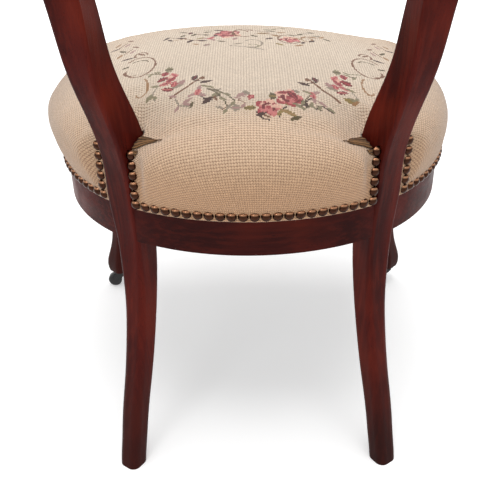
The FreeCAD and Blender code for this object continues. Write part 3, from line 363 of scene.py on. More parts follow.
class Woods:
    """The wood finishes and the node group that they share."""

    def __init__(self, polish: Polish, bare: BareWood) -> None:
        """Build the group.

        Args:
            polish: Colours and gloss of the polished wood.
            bare: Colours and gloss of the unpolished wood.
        """
        self.polish = polish
        self.bare = bare
        self.grain = self._grain_group()

    def _grain_group(self) -> Group:
        """Figure, growth lines, pores, marks of hands, red patches and darkening towards the floor.

        Returns:
            The group, whose outputs run from 0 to 1.
        """
        polish = self.polish
        names = ("Figure", "Lines", "Pores", "Marks", "Glow", "Grime")
        group = Group("mahogany_grain", {"Vector": "Vector", "Place": "Vector"},
                      dict.fromkeys(names, "Float"))
        vector = group.source.outputs["Vector"]
        place = group.source.outputs["Place"]
        parts = group.node("ShaderNodeSeparateXYZ")
        group.feed(parts.inputs[0], place)
        values = (
            group.noise(vector, polish.figure_scale, detail=4.0),
            group.span(group.noise(vector, polish.line_scale, detail=4.0), *polish.line_span, 0.0, 1.0),
            group.span(group.noise(vector, polish.pore_scale, detail=1.0), *polish.pore_span, 0.0, 1.0),
            group.noise(place, polish.mark_scale, detail=5.0),
            group.span(group.noise(place, polish.glow_scale, detail=2.0), *polish.glow_span, 0.0, 1.0),
            # Darkening towards the floor: 1 below the span's low height, 0 above its high one.
            group.span(parts.outputs[2], *polish.grime_span, 1.0, 0.0),
        )
        for name, value in zip(names, values):
            group.feed(group.result.inputs[name], value)
        return group

    def mahogany(self, name: str, grain: Grain, depth: float = 1.0) -> bpy.types.Material:
        """Polished mahogany with its grain running one way.

        Args:
            name: The material's name.
            grain: The way of the grain.
            depth: Below 1 to darken the whole piece, as painted shade on the back rail.

        Returns:
            The material.
        """
        polish = self.polish
        finish = Finish(name)
        place = finish.node("ShaderNodeTexCoord").outputs["Object"]
        made = self.grain.used(finish, Vector=finish.stretched(place, grain.value), Place=place).outputs
        figure = finish.span(made["Figure"], *polish.figure_span, 0.0, 1.0)
        colour = finish.mix(figure, polish.dark, polish.middle)
        for mask, share, tint in (("Lines", polish.line_share, polish.light),
                                  ("Pores", polish.pore_share, polish.pore),
                                  ("Glow", polish.glow_share, polish.glow),
                                  ("Grime", polish.grime_share, polish.grime)):
            colour = finish.mix(finish.math("MULTIPLY", made[mask], share), colour, tint)
        # Painted shade: the whole piece is darkened by depth.
        colour = finish.mix(1.0, colour, (depth, depth, depth), "MULTIPLY")
        worn = finish.span(made["Marks"], *polish.mark_span, 0.0, polish.mark_roughness)
        finish.set(Base_Color=colour, Roughness=finish.math("ADD", worn, polish.roughness),
                   Specular_IOR_Level=polish.specular, Coat_Weight=polish.coat,
                   Coat_Roughness=polish.coat_roughness)
        finish.bump(finish.math("MULTIPLY", made["Pores"], -1.0), polish.pore_depth, polish.pore_strength)
        return finish.material

    def beech(self, name: str, grain: Grain) -> bpy.types.Material:
        """Unpolished beech.

        Args:
            name: The material's name.
            grain: The way of the grain.

        Returns:
            The material.
        """
        bare = self.bare
        finish = Finish(name)
        place = finish.node("ShaderNodeTexCoord").outputs["Object"]
        made = self.grain.used(finish, Vector=finish.stretched(place, grain.value), Place=place).outputs
        shade = tuple(channel * bare.shade for channel in bare.colour)
        finish.set(Base_Color=finish.mix(made["Figure"], bare.colour, shade), Roughness=bare.roughness)
        return finish.material


# ---------------------------------------------------------------- metal and small things


@dataclass(frozen=True)
class Plain:
    """A finish without a pattern of its own.

    Worn is the colour of its blotches, wear their strength and fine their scale. Painted highlight is the
    colour painted on the slopes that face up, standing in for the lamps' highlight, if the finish has one.
    """

    colour: tuple
    roughness: float
    metallic: float = 0.0
    worn: tuple = (0.0, 0.0, 0.0)
    wear: float = 0.0
    fine: float = 600.0
    painted_highlight: tuple | None = None


PLAIN_FINISHES = {
    # The last colour of antique_brass is a painted highlight on the upper slopes of the nail heads.
    "antique_brass": Plain(linear(62, 38, 28), 0.24, 1.0, linear(34, 21, 17), 0.5, 260.0,
                           linear(168, 122, 92)),
    "black_iron": Plain(linear(22, 21, 20), 0.38, 0.2, linear(58, 52, 48), 0.3, 420.0),
    "black_wheel": Plain(linear(20, 20, 20), 0.34, 0.0, linear(60, 58, 56), 0.25, 380.0),
    "screw_steel": Plain(linear(150, 148, 145), 0.35, 0.9),
    "blued_tacks": Plain(linear(52, 54, 64), 0.40, 0.8),
    "spring_steel": Plain(linear(168, 128, 92), 0.35, 0.9),
    "jute_webbing": Plain(linear(176, 146, 100), 0.9, 0.0, linear(120, 92, 58), 0.6, 900.0),
    "hessian": Plain(linear(180, 150, 104), 0.92, 0.0, linear(128, 100, 64), 0.6, 900.0),
    "black_cloth": Plain(linear(26, 25, 25), 0.85, 0.0, linear(48, 46, 44), 0.4, 700.0),
}


@dataclass(frozen=True)
class Patina:
    """How wear and the painted highlight lie on the plain finishes.

    Spans are parts of a noise, 0 to 1, and scales are shares of the finish's own. The painted highlight's
    spans are parts of the upward slope of a face, where the painted highlight comes and where it goes.
    """

    blotch_span: tuple = (0.45, 0.7)
    gloss_scale: float = 0.6
    gloss_span: tuple = (0.3, 0.7)
    gloss_shares: tuple = (0.85, 1.25)
    dent_scale: float = 1.6
    dent_depth: float = 0.00015
    dent_strength: float = 0.35
    painted_highlight_from: tuple = (0.32, 0.6)
    painted_highlight_to: tuple = (0.62, 0.82)


def plain_material(name: str, look: Plain, patina: Patina) -> bpy.types.Material:
    """A finish with small blotches of wear, and a painted highlight on slopes that face up where it has
    one.

    Args:
        name: The material's name.
        look: Its colours and gloss.
        patina: How the wear lies on it.

    Returns:
        The material.
    """
    finish = Finish(name)
    place = finish.node("ShaderNodeTexCoord").outputs["Object"]
    blotch = finish.span(finish.noise(place, look.fine), *patina.blotch_span, 0.0, look.wear)
    colour = finish.mix(blotch, look.colour, look.worn)
    # Painted highlight: slopes that face up are painted lighter, standing in for the lamps' highlight.
    if look.painted_highlight is not None:
        parts = finish.node("ShaderNodeSeparateXYZ")
        finish.feed(parts.inputs[0], finish.node("ShaderNodeNewGeometry").outputs["Normal"])
        upward = parts.outputs[2]
        highlight_mask = finish.math("MULTIPLY", finish.span(upward, *patina.painted_highlight_from, 0.0, 1.0),
                             finish.span(upward, *patina.painted_highlight_to, 1.0, 0.0))
        colour = finish.mix(highlight_mask, colour, look.painted_highlight)
    low, high = (look.roughness * share for share in patina.gloss_shares)
    gloss = finish.noise(place, look.fine * patina.gloss_scale)
    finish.set(Base_Color=colour, Metallic=look.metallic,
               Roughness=finish.span(gloss, *patina.gloss_span, low, high))
    finish.bump(finish.noise(place, look.fine * patina.dent_scale), patina.dent_depth,
                patina.dent_strength)
    return finish.material


# ---------------------------------------------------------------- needlework


@dataclass(frozen=True)
class Yarns:
    """Colours of the wool, as seen."""

    crown: tuple = (209, 193, 173)
    back: tuple = (207, 179, 152)
    # Near the nails: partly yellowed wool, partly painted shade on the back wall.
    tan: tuple = (187, 146, 109)
    # Painted shade on the sides of the seat.
    side_shade_wool: tuple = (176, 152, 130)
    gap: tuple = (100, 56, 30)
    crimson: tuple = (104, 28, 34)
    rose: tuple = (152, 58, 64)
    pink: tuple = (190, 112, 108)
    blush: tuple = (216, 172, 152)
    lilac: tuple = (158, 124, 118)
    bark: tuple = (56, 32, 24)
    brown: tuple = (112, 76, 52)
    gold: tuple = (148, 112, 76)
    olive: tuple = (132, 112, 62)
    moss: tuple = (80, 70, 42)
    sage: tuple = (128, 120, 92)
    ash: tuple = (138, 126, 110)


@dataclass(frozen=True)
class RoseShape:
    """Parts of a rose, as shares of its radius and as slopes at which its petals part."""

    lobes: int = 5
    wave: float = 0.16
    pale: float = 0.2
    parting: float = 0.32
    parting_from: float = 0.42
    rim: float = 0.8
    rim_turn: float = 2.2
    ring: float = 0.45
    ring_thick: float = 0.13
    ring_open: float = -0.2
    heart: float = 0.2


@dataclass(frozen=True)
class LeafShape:
    """Small shapes of leaves, buds, scrolls and twigs, in stitches, shares and degrees."""

    notches: float = 5.0
    notch: float = 0.2
    edge: float = 0.12
    rib_long: float = 0.4
    rib_thick: float = 0.28
    curl_steps: int = 26
    curl_thick: float = 0.38
    bud: tuple = (4.5, 2.6)
    sepal: tuple = (4.6, 1.8)
    sepal_leans: tuple = (-55, 55, 180)
    sepal_away: tuple = (1.8, 2.8)
    twig_thick: float = 0.3
    twig_turns: tuple = (-25, 65)
    twig_away: tuple = (0.8, 1.5)
    twig_wide: float = 0.42


class Chart:
    """The needlework as rows and columns of stitches, seen from above.

    Columns run along +X and rows along +Y, counted from the middle of the seat. The flowers are
    worked in petit point, with four small stitches in the place of one.
    """

    def __init__(self, half: int, yarns: Yarns, seed: int) -> None:
        """Start an empty chart.

        Args:
            half: Stitches from the middle to each side.
            yarns: The wool.
            seed: For the small differences between stitches.
        """
        self.half = half
        self.yarns = yarns
        self.flower = RoseShape()
        self.shapes = LeafShape()
        self.random = np.random.default_rng(seed)
        line = (np.arange(-2 * half, 2 * half) + 0.5) / 2
        self.column, self.row = np.meshgrid(line, line)
        self.colours = np.zeros((4 * half, 4 * half, 3))
        self.worked = np.zeros((4 * half, 4 * half), bool)

    def lay(self, mask: np.ndarray, colour: tuple) -> None:
        """Work the stitches of a mask in one wool.

        Args:
            mask: Which stitches.
            colour: The wool's colour.
        """
        self.colours[mask] = colour
        self.worked |= mask

    def leaf(self, column: float, row: float, long: float, wide: float, turn: float,
             colour: tuple, rib: tuple | None = None) -> None:
        """A pointed leaf or petal.

        Args:
            column: Middle.
            row: Middle.
            long: Length in stitches.
            wide: Width in stitches.
            turn: Its way, in degrees from +X.
            colour: The wool's colour.
            rib: Colour of its rib, if it has one.
        """
        shape = self.shapes
        angle = math.radians(turn)
        across, along = self.column - column, self.row - row
        x = across * math.cos(angle) + along * math.sin(angle)
        y = along * math.cos(angle) - across * math.sin(angle)
        share = np.clip(1 - (2 * x / long) ** 2, 0, 1)
        notched = 1 - shape.notch + shape.notch * np.sin(shape.notches * x)
        half = wide / 2 * share * notched + shape.edge
        self.lay((np.abs(x) < long / 2) & (np.abs(y) <= half), colour)
        if rib is not None:
            self.lay((np.abs(x) < long * shape.rib_long) & (np.abs(y) < shape.rib_thick), rib)

    def stem(self, points: list[tuple[float, float]], colour: tuple, thick: float) -> None:
        """A line of stitches through points.

        Args:
            points: Columns and rows.
            colour: The wool's colour.
            thick: Half of its width.
        """
        for (x0, y0), (x1, y1) in zip(points, points[1:]):
            across, along = x1 - x0, y1 - y0
            run = across ** 2 + along ** 2
            share = np.clip(((self.column - x0) * across + (self.row - y0) * along) / run, 0, 1)
            apart = np.hypot(self.column - x0 - share * across, self.row - y0 - share * along)
            self.lay(apart < thick, colour)

    def twig(self, points: list[tuple[float, float]], colour: tuple, leaf: tuple, size: float) -> None:
        """A stem with a small leaf at each of its points, on alternate sides.

        Args:
            points: Columns and rows.
            colour: The stem's colour.
            leaf: The leaves' colour.
            size: Length of a leaf.
        """
        shape = self.shapes
        across, along = shape.twig_away
        self.stem(points, colour, shape.twig_thick)
        for number, (column, row) in enumerate(points):
            odd = number % 2
            self.leaf(column + across, row + (along if odd else -along), size, size * shape.twig_wide,
                      shape.twig_turns[odd], leaf)

    def leaves(self, each: tuple, middle: float = 0.0, side: int = 1) -> None:
        """Work leaves one after another, mirrored for the other side.

        Args:
            each: Column, row, length, width, turn, colour and perhaps rib of each leaf.
            middle: Where their columns are counted from.
            side: 1 or -1.
        """
        for across, row, long, wide, turn, *wools in each:
            self.leaf(middle + side * across, row, long, wide, side * turn, *wools)

    def stems(self, each: tuple, middle: float = 0.0, side: int = 1) -> None:
        """Work stems one after another, mirrored for the other side.

        Args:
            each: Points, colour and half width of each stem.
            middle: Where their columns are counted from.
            side: 1 or -1.
        """
        for points, colour, thick in each:
            self.stem([(middle + side * across, row) for across, row in points], colour, thick)

    def twigs(self, each: tuple, middle: float = 0.0, side: int = 1) -> None:
        """Work twigs one after another, mirrored for the other side.

        Args:
            each: Points, colour, colour of the leaves and their length for each twig.
            middle: Where their columns are counted from.
            side: 1 or -1.
        """
        for points, colour, leaf, size in each:
            self.twig([(middle + side * across, row) for across, row in points], colour, leaf, size)

    def curl(self, column: float, row: float, wide: float, tall: float, start: float, sweep: float,
             colour: tuple, end: float) -> None:
        """A scroll: part of an ellipse that winds in.

        Args:
            column: Middle.
            row: Middle.
            wide: Half of its width at the start.
            tall: Half of its height at the start.
            start: Angle at its start, in degrees.
            sweep: How far it turns, in degrees.
            colour: The wool's colour.
            end: Its size at the end, as a share of that at the start.
        """
        points = []
        for share in np.linspace(0, 1, self.shapes.curl_steps):
            angle = math.radians(start + sweep * share)
            reach = 1 + (end - 1) * share
            points.append((column + wide * reach * math.cos(angle), row + tall * reach * math.sin(angle)))
        self.stem(points, colour, self.shapes.curl_thick)

    def rose(self, column: float, row: float, wide: float, tall: float, turn: float) -> None:
        """A rose seen from above: rings of petals from crimson to blush.

        Args:
            column: Middle.
            row: Middle.
            wide: Half of its width, in stitches.
            tall: Half of its height.
            turn: Turns its petals, in degrees.
        """
        rose, yarns = self.flower, self.yarns
        x = (self.column - column) / wide
        y = (self.row - row) / tall
        reach = np.hypot(x, y)
        angle = np.arctan2(y, x) + math.radians(turn)
        inside = reach < 1 + rose.wave * np.cos(rose.lobes * angle)
        parted = np.abs(np.cos(rose.lobes / 2 * angle)) < rose.parting
        ring = np.abs(reach - rose.ring) < rose.ring_thick
        self.lay(inside, yarns.pink)
        self.lay(inside & (np.cos(angle) > rose.pale), yarns.blush)
        self.lay(inside & parted & (reach > rose.parting_from), yarns.rose)
        self.lay(inside & (reach > rose.rim) & (np.cos(angle - rose.rim_turn) > rose.pale), yarns.rose)
        self.lay(inside & ring & (np.sin(1.5 * angle) > rose.ring_open), yarns.crimson)
        self.lay(inside & (reach < rose.heart), yarns.rose)

    def bloom(self, column: float, row: float, side: int) -> None:
        """A rose in full red, seen from the side: petals that overlap.

        Args:
            column: Middle.
            row: Middle.
            side: 1 or -1, the way it leans.
        """
        yarns = self.yarns
        petals = (
            (1.6, -5.2, 4.6, 3.4, 80, yarns.rose, yarns.crimson),
            (-1.8, -3.0, 4.4, 3.0, 120, yarns.pink, yarns.rose),
            (2.2, -0.6, 5.0, 3.2, 30, yarns.crimson, yarns.rose),
            (-0.8, 0.8, 5.4, 3.6, 60, yarns.rose, yarns.crimson),
            (1.4, 3.6, 5.2, 3.2, 10, yarns.pink, yarns.crimson),
            (-2.2, 4.4, 4.2, 3.0, 75, yarns.rose, yarns.pink),
            (0.2, 7.2, 4.8, 2.4, 165, yarns.crimson, yarns.pink),
            (-0.4, -1.6, 2.4, 1.8, 90, yarns.blush, None),
        )
        for across, down, long, wide, turn, colour, rib in petals:
            self.leaf(column + side * across, row + down, long, wide, side * turn, colour, rib)

    def bud(self, column: float, row: float, turn: float) -> None:
        """A half-open bud between lilac sepals.

        Args:
            column: Middle.
            row: Middle.
            turn: The way it points, in degrees.
        """
        shape = self.shapes
        across, along = shape.sepal_away
        for lean in shape.sepal_leans:
            angle = math.radians(turn + lean)
            self.leaf(column + across * math.cos(angle), row + along * math.sin(angle), *shape.sepal,
                      math.degrees(angle), self.yarns.lilac)
        self.leaf(column, row, *shape.bud, turn, self.yarns.pink, self.yarns.rose)


@dataclass(frozen=True)
class Ground:
    """Where the ground changes colour, in stitches from the middle of the seat.

    The least shares are what is left of a change at the front, and the lost share is what the back loses of
    the painted shade at the sides.
    """

    squash: float = 0.86
    behind: tuple = (-20, 50)
    turning: tuple = (38, 64)
    turning_least: float = 0.35
    yellowed_and_shaded: tuple = (62, 88)
    yellowed_and_shaded_least: float = 0.3
    side_shade: tuple = (56, 84)
    side_shade_lost: float = 0.5
    uneven: float = 0.03


class Needlework(Chart):
    """Garland, scrolls and spray on a cream ground that turns tan near the nails, partly yellowed with age
    and partly painted shade, and darker at the sides as painted shade.
    """

    SEED = 7

    def __init__(self, half: int, yarns: Yarns, ground: Ground) -> None:
        """Work the whole design.

        Args:
            half: Stitches from the middle to each side.
            yarns: The wool.
            ground: Where the ground changes colour.
        """
        super().__init__(half, yarns, self.SEED)
        self.fill(ground)
        self.front_spray()
        self.scrolls()
        self.garland()
        shade = self.random.normal(1.0, ground.uneven, self.colours.shape[:2])[..., None]
        self.colours = linear_light(np.clip(self.colours * shade, 0, 255))

    def fill(self, ground: Ground) -> None:
        """Work the ground.

        Args:
            ground: Where it changes colour.
        """
        yarns = self.yarns
        reach = np.hypot(self.column * ground.squash, self.row)
        behind = smooth_step(*ground.behind, self.row)
        turning = smooth_step(*ground.turning, reach)
        turning *= ground.turning_least + (1 - ground.turning_least) * behind
        # Tan near the nails, more so behind: partly yellowing, partly painted shade.
        yellowed_and_shaded = smooth_step(*ground.yellowed_and_shaded, reach)
        yellowed_and_shaded *= ground.yellowed_and_shaded_least + (1 - ground.yellowed_and_shaded_least) * behind
        # Painted shade: the sides of the seat are darker, as if the lamp above lit them less.
        side_shade = smooth_step(*ground.side_shade, np.abs(self.column)) * (1 - ground.side_shade_lost * behind)
        self.colours[:] = yarns.crown
        for share, wool in ((turning, yarns.back), (yellowed_and_shaded, yarns.tan), (side_shade, yarns.side_shade_wool)):
            share = share[..., None]
            self.colours = self.colours * (1 - share) + np.array(wool) * share

    def garland(self) -> None:
        """Work the garland across the back of the crown."""
        wool = self.yarns
        for side, shift in ((1, 0), (-1, -4)):
            x = side * 29 + shift
            self.bloom(x, 25, side)
            self.leaf(x + 0.5, 16, 3.4, 6.0, 0, wool.sage, wool.moss)
            self.leaves(((-4.5, 29, 4.5, 2.6, 60, wool.lilac), (-3.4, 31, 4.5, 1.6, 20, wool.ash)), x, side)
            self.twigs((
                (((4.2, 30), (5.6, 34), (4.4, 37)), wool.ash, wool.sage, 4),
                (((4.0, 19), (6.6, 18)), wool.moss, wool.sage, 3)), x, side)
            self.stems(((((-1.5, 38), (-6.5, 33), (-12, 26)), wool.brown, 0.45),), x, side)
            self.leaves(((-9.4, 26, 4.6, 2.6, 70, wool.bark, wool.crimson),), x, side)
            self.stems((
                (((-9.4, 28), (-13.5, 30), (-16.0, 29)), wool.bark, 0.3),
                (((-11, 39), (-14.6, 43.5), (-18.6, 41)), wool.bark, 0.3)), x, side)
            self.twigs(((((-16, 38), (-18.6, 36.5)), wool.ash, wool.ash, 3.0),), x, side)
            self.leaves((
                (-7.6, 41.5, 4.2, 1.4, 30, wool.lilac), (-9.0, 44.5, 3.6, 1.2, 70, wool.moss),
                (-13.5, 30, 4.6, 2.0, 15, wool.bark), (-12.2, 26.5, 2.8, 1.8, 100, wool.brown)), x, side)
            self.bud(x - side * 11, 37.5, 80 * side)
            self.leaves(((-14.6, 43.5, 5.5, 3.0, 50, wool.bark), (-17.2, 42.5, 4.6, 1.2, 110, wool.brown)),
                        x, side)
        self.twigs((
            (((13, 36), (10, 38.5), (7, 42), (5, 45)), wool.moss, wool.sage, 3.2),
            (((15, 35), (11.5, 39), (8.5, 45), (7.5, 49)), wool.moss, wool.sage, 3.2),
            (((21, 45), (24.5, 43), (26, 39)), wool.ash, wool.lilac, 3.4),
            (((9.5, 50), (6.5, 47)), wool.brown, wool.ash, 3.0),
            (((3.6, 44.5), (1.5, 46.5)), wool.brown, wool.lilac, 3.0),
            (((-9.6, 53), (-11, 49), (-12.5, 47)), wool.bark, wool.olive, 3.4),
            (((-22.5, 46), (-25, 42.5), (-29, 45)), wool.bark, wool.sage, 3.2)))
        self.stems(((((-2.2, 51.5), (-4.0, 54.5), (-6.5, 55)), wool.bark, 0.32),))
        self.leaves((
            (4.8, 49, 3.4, 4.6, 0, wool.ash, wool.lilac), (2.6, 41, 4.2, 3.0, 40, wool.lilac),
            (1.2, 39.5, 3.4, 2.2, 120, wool.ash), (-0.4, 42.5, 3.8, 2.6, 70, wool.rose, wool.pink),
            (0.0, 49.2, 4.4, 3.0, 10, wool.olive, wool.moss)))
        self.rose(-13.2, 41.5, 4.5, 5.2, 30)
        self.leaves((
            (-14.6, 39.6, 6.4, 3.4, 120, wool.crimson, wool.rose),
            (-16.4, 43.4, 4.4, 2.4, 60, wool.rose, wool.crimson),
            (-11.4, 38.4, 4.2, 2.2, 20, wool.rose, wool.crimson)))
        self.rose(-6.2, 48.4, 4.1, 4.6, 100)
        self.leaves((
            (-7.7, 41.5, 2.8, 5.4, 0, wool.moss, wool.olive), (-3.8, 52.4, 4.2, 2.0, 30, wool.bark),
            (-5.8, 53.4, 3.0, 1.0, 150, wool.brown), (-13.0, 50.5, 6.4, 2.2, 155, wool.olive, wool.gold),
            (-15.4, 52.6, 4.4, 1.6, 30, wool.moss)))
        self.twigs((
            (((-17, 47), (-19, 42), (-21, 38)), wool.moss, wool.sage, 3.6),
            (((-18, 48), (-22, 42)), wool.moss, wool.sage, 3.6)))
        self.leaves(((-35, 36, 4.0, 1.8, 160, wool.olive), (-37.4, 36.5, 3.6, 1.4, 30, wool.gold)))

    def scrolls(self) -> None:
        """Work the scrolls at both sides of the crown, with their sprigs."""
        wool = self.yarns
        for side, x, y in ((1, 41.6, 8.5), (-1, -46.0, 5.0)):
            for across, up, wide, tall, start, sweep, colour, end in (
                    (0.0, 0.0, 6.6, 12.0, -40, -300, wool.brown, 0.82),
                    (1.8, 4.0, 4.6, 4.4, 100, -130, wool.brown, 0.7),
                    (0.8, -4.5, 3.8, 3.6, 190, 130, wool.moss, 0.8),
                    (-1.8, 20, 3.4, 7.6, 240, -190, wool.gold, 0.5)):
                self.curl(x + side * across, y + up, side * wide, tall, start, sweep, colour, end)
            self.leaf(x + side * 5.6, y - 2.0, 3.4, 1.6, 20, wool.moss)
            self.stems(((((-4, y + 9.5), (-9, y + 11), (-11, y + 10)), wool.sage, 0.34),), x, side)
            self.sprigs(x, y, side)
            self.curl(x + side * 1.5, y - 15, side * 3.0, 4.6, 180, 230, wool.brown, 0.6)

    def sprigs(self, x: float, y: float, side: int) -> None:
        """Work the leaves that hang below a scroll.

        Args:
            x: Column of the scroll.
            y: Row of the scroll.
            side: 1 or -1.
        """
        wool = self.yarns
        wools = (wool.bark, wool.gold, wool.moss)
        for step in range(5):
            odd, third = step % 2, step % 3
            column = x + side * (6 + 2.0 * step + 2.4 * odd)
            row = y - 13 - 6.6 * step
            self.leaves(((0.0, row, 5.6, 1.9, 15 + 55 * third, wools[third]),
                         (-5.0, row - 3.0, 4.6, 1.6, 130 - 60 * odd, wool.lilac if odd else wool.brown)),
                        column, side)
            if odd:
                self.stems(((((-1.6, row - 1), (-4.2, row - 7)), wool.brown, 0.3),), column, side)

    def front_spray(self) -> None:
        """Work the spray at the front of the crown."""
        wool = self.yarns
        self.rose(8.4, -29, 5.2, 6.6, 210)
        self.leaves(((8.6, -25.5, 8.0, 3.2, 10, wool.rose, wool.crimson),
                     (12.6, -31, 4.6, 2.4, 60, wool.crimson)))
        self.bud(15.4, -22, 60)
        self.leaves(((16.6, -11.5, 4.0, 3.2, 60, wool.ash, wool.lilac),
                     (11.0, -16.5, 4.4, 1.6, 150, wool.moss)))
        self.curl(3.2, -31, 3.6, 7.0, 60, -220, wool.brown, 0.9)
        self.leaves(((-6.4, -30.5, 5.6, 3.4, 170, wool.olive, wool.gold),))
        self.rose(-17.2, -21.5, 3.8, 4.6, 60)
        self.leaves(((-12.6, -13.0, 4.6, 1.8, 140, wool.olive), (-20.4, -13.0, 5.0, 1.8, 40, wool.gold)))
        self.curl(-1.6, -13.5, 4.2, 6.0, 70, 250, wool.ash, 0.9)
        self.curl(-1.4, -9.5, 3.0, 3.2, 40, 260, wool.sage, 0.7)
        self.stems(((((7.0, -9.5), (1.5, -8), (-5.5, -4.5)), wool.ash, 0.36),))
        self.twigs((
            (((18, -17), (23, -20), (27, -23), (33.4, -27.5)), wool.brown, wool.bark, 4.6),
            (((17, -27), (22, -31), (27, -34.5)), wool.brown, wool.moss, 4.4),
            (((-21, -22), (-24, -28.5), (-28, -27), (-32, -31.5)), wool.brown, wool.gold, 4.4),
            (((-9, -38), (-12, -42.5), (-16, -44)), wool.moss, wool.sage, 4.0)))
        self.stems(((((26, -23), (31, -21.5)), wool.gold, 0.36),))
        self.curl(-17.0, -22.5, 5.0, 7.6, 150, -230, wool.brown, 0.9)
        self.curl(-24.5, -24.0, 2.6, 4.2, 0, 250, wool.gold, 0.7)
        self.leaves((
            (-22.4, -17.5, 3.6, 1.6, 70, wool.bark), (-11.4, -27.0, 4.4, 2.4, 150, wool.gold, wool.olive),
            (-29.0, -31.5, 4.6, 1.4, 20, wool.moss), (13.6, -26.5, 3.4, 2.0, 110, wool.bark),
            (19.8, -22.5, 4.0, 1.6, 40, wool.olive), (24.6, -33.5, 4.4, 2.2, 75, wool.bark, wool.crimson),
            (21.4, -13.5, 3.6, 1.4, 150, wool.gold)))
        self.stems((
            (((3.0, -37), (-3.5, -36), (-9, -33)), wool.brown, 0.32),
            (((8.0, -38), (14, -37), (19, -38.5)), wool.sage, 0.32)))
        self.curl(1.5, -32.5, 5.4, 8.6, 110, -250, wool.brown, 0.8)
        self.stems(((((-14, -27), (-8, -31), (-2.5, -29)), wool.brown, 0.34),))
        self.twigs(((((-19, -28), (-23, -34), (-28, -37)), wool.bark, wool.moss, 4.4),))
        self.leaves((
            (12.8, -37, 4.6, 2.2, 150, wool.bark), (17.4, -34, 4.2, 2.0, 30, wool.moss),
            (5.4, -20.5, 4.6, 2.2, 70, wool.lilac), (-2.4, -25.5, 4.2, 2.0, 130, wool.moss),
            (-8.6, -21.5, 4.0, 2.2, 40, wool.bark), (-9.6, -36, 5.0, 2.0, 165, wool.moss),
            (-14.0, -34, 4.4, 2.0, 15, wool.gold), (-26.2, -21, 4.2, 1.8, 60, wool.bark),
            (-33.0, -26.4, 4.2, 1.6, 140, wool.moss), (27.4, -28.5, 4.2, 1.8, 60, wool.moss),
            (32.4, -22.8, 4.2, 1.6, 120, wool.bark), (4.2, -12.5, 4.4, 1.6, 20, wool.ash)))


@dataclass(frozen=True)
class Stitch:
    """One slanting stitch, as shares of its cell of the canvas, and the gloss of the wool."""

    slant: tuple = (0.8, 0.6)
    long: float = 0.62
    wide: float = 0.44
    round_off: float = 1.15
    gap_span: tuple = (0.55, 1.25)
    gap_share: float = 0.66
    small_gap_share: float = 0.4
    small_relief: float = 0.5
    relief: float = 0.0006
    relief_strength: float = 0.8
    roughness: float = 0.92
    sheen: float = 0.25
    sheen_roughness: float = 0.5


def stitch_group(stitch: Stitch) -> Group:
    """The height of a stitch and the gap around it, for one stitch in each whole step.

    Args:
        stitch: The stitch's shape.

    Returns:
        The group.
    """
    group = Group("tent_stitch", {"Vector": "Vector"}, {"Height": "Float", "Gap": "Float"})
    cell = group.node("ShaderNodeVectorMath", operation="FRACTION")
    group.feed(cell.inputs[0], group.source.outputs["Vector"])
    parts = group.node("ShaderNodeSeparateXYZ")
    group.feed(parts.inputs[0], cell.outputs[0])
    x, y = (group.math("SUBTRACT", parts.outputs[place], 0.5) for place in (0, 1))
    cosine, sine = stitch.slant
    along = group.math("ADD", group.math("MULTIPLY", x, cosine), group.math("MULTIPLY", y, sine))
    side = group.math("SUBTRACT", group.math("MULTIPLY", y, cosine), group.math("MULTIPLY", x, sine))
    spread = group.math("ADD", group.math("POWER", group.math("DIVIDE", along, stitch.long), 2.0),
                        group.math("POWER", group.math("DIVIDE", side, stitch.wide), 2.0))
    group.feed(group.result.inputs["Height"], group.span(spread, 0.0, stitch.round_off, 1.0, 0.0))
    group.feed(group.result.inputs["Gap"], group.span(spread, *stitch.gap_span, 0.0, 1.0))
    return group


def needlework_material(cells: int, yarns: Yarns, stitch: Stitch) -> bpy.types.Material:
    """Wool in slanting stitches with the canvas showing between them.

    Args:
        cells: Stitches from the middle to each side.
        yarns: The wool.
        stitch: The stitch's shape and gloss.

    Returns:
        The material.
    """
    group = stitch_group(stitch)
    finish = Finish("needlework")
    place = finish.node("ShaderNodeUVMap", uv_map="UVMap").outputs[0]
    wool = finish.node("ShaderNodeAttribute", attribute_name="wool").outputs
    count = 2.0 * cells
    large = group.used(finish, Vector=finish.stretched(place, (count, count, 1.0))).outputs
    small = group.used(finish, Vector=finish.stretched(place, (2 * count, 2 * count, 1.0))).outputs
    fine = finish.math("GREATER_THAN", wool["Alpha"], 0.5)
    coarse = finish.math("SUBTRACT", 1.0, fine)
    small_gap = finish.math("MULTIPLY", finish.math("MULTIPLY", fine, small["Gap"]),
                            stitch.small_gap_share)
    large_gap = finish.math("MULTIPLY", coarse, large["Gap"])
    gap = finish.math("MULTIPLY_ADD", large_gap, stitch.gap_share, small_gap)
    small_height = finish.math("MULTIPLY", finish.math("MULTIPLY", fine, small["Height"]),
                               stitch.small_relief)
    height = finish.math("ADD", finish.math("MULTIPLY", coarse, large["Height"]), small_height)
    finish.set(Base_Color=finish.mix(gap, wool["Color"], linear(*yarns.gap)), Roughness=stitch.roughness,
               Sheen_Weight=stitch.sheen, Sheen_Roughness=stitch.sheen_roughness)
    finish.bump(height, stitch.relief, stitch.relief_strength)
    return finish.material


# ---------------------------------------------------------------- meshes


def read(values: object, name: str, count: int, kind: type) -> np.ndarray:
    """Read one property of all elements of a mesh.

    Args:
        values: Its vertices, edges, loops or faces.
        name: The property.
        count: Numbers in each element.
        kind: Type of the numbers.

    Returns:
        The numbers in one row.
    """
    flat = np.empty(len(values) * count, kind)
    values.foreach_get(name, flat)
    return flat


def coordinates(thing: bpy.types.Object) -> np.ndarray:
    """All vertices of an object, one per row."""
    return read(thing.data.vertices, "co", 3, np.float32).reshape(-1, 3).astype(float)


def write(thing: bpy.types.Object, points: np.ndarray) -> None:
    """Set all vertices of an object."""
    thing.data.vertices.foreach_set("co", points.astype(np.float32).ravel())
    thing.data.update()


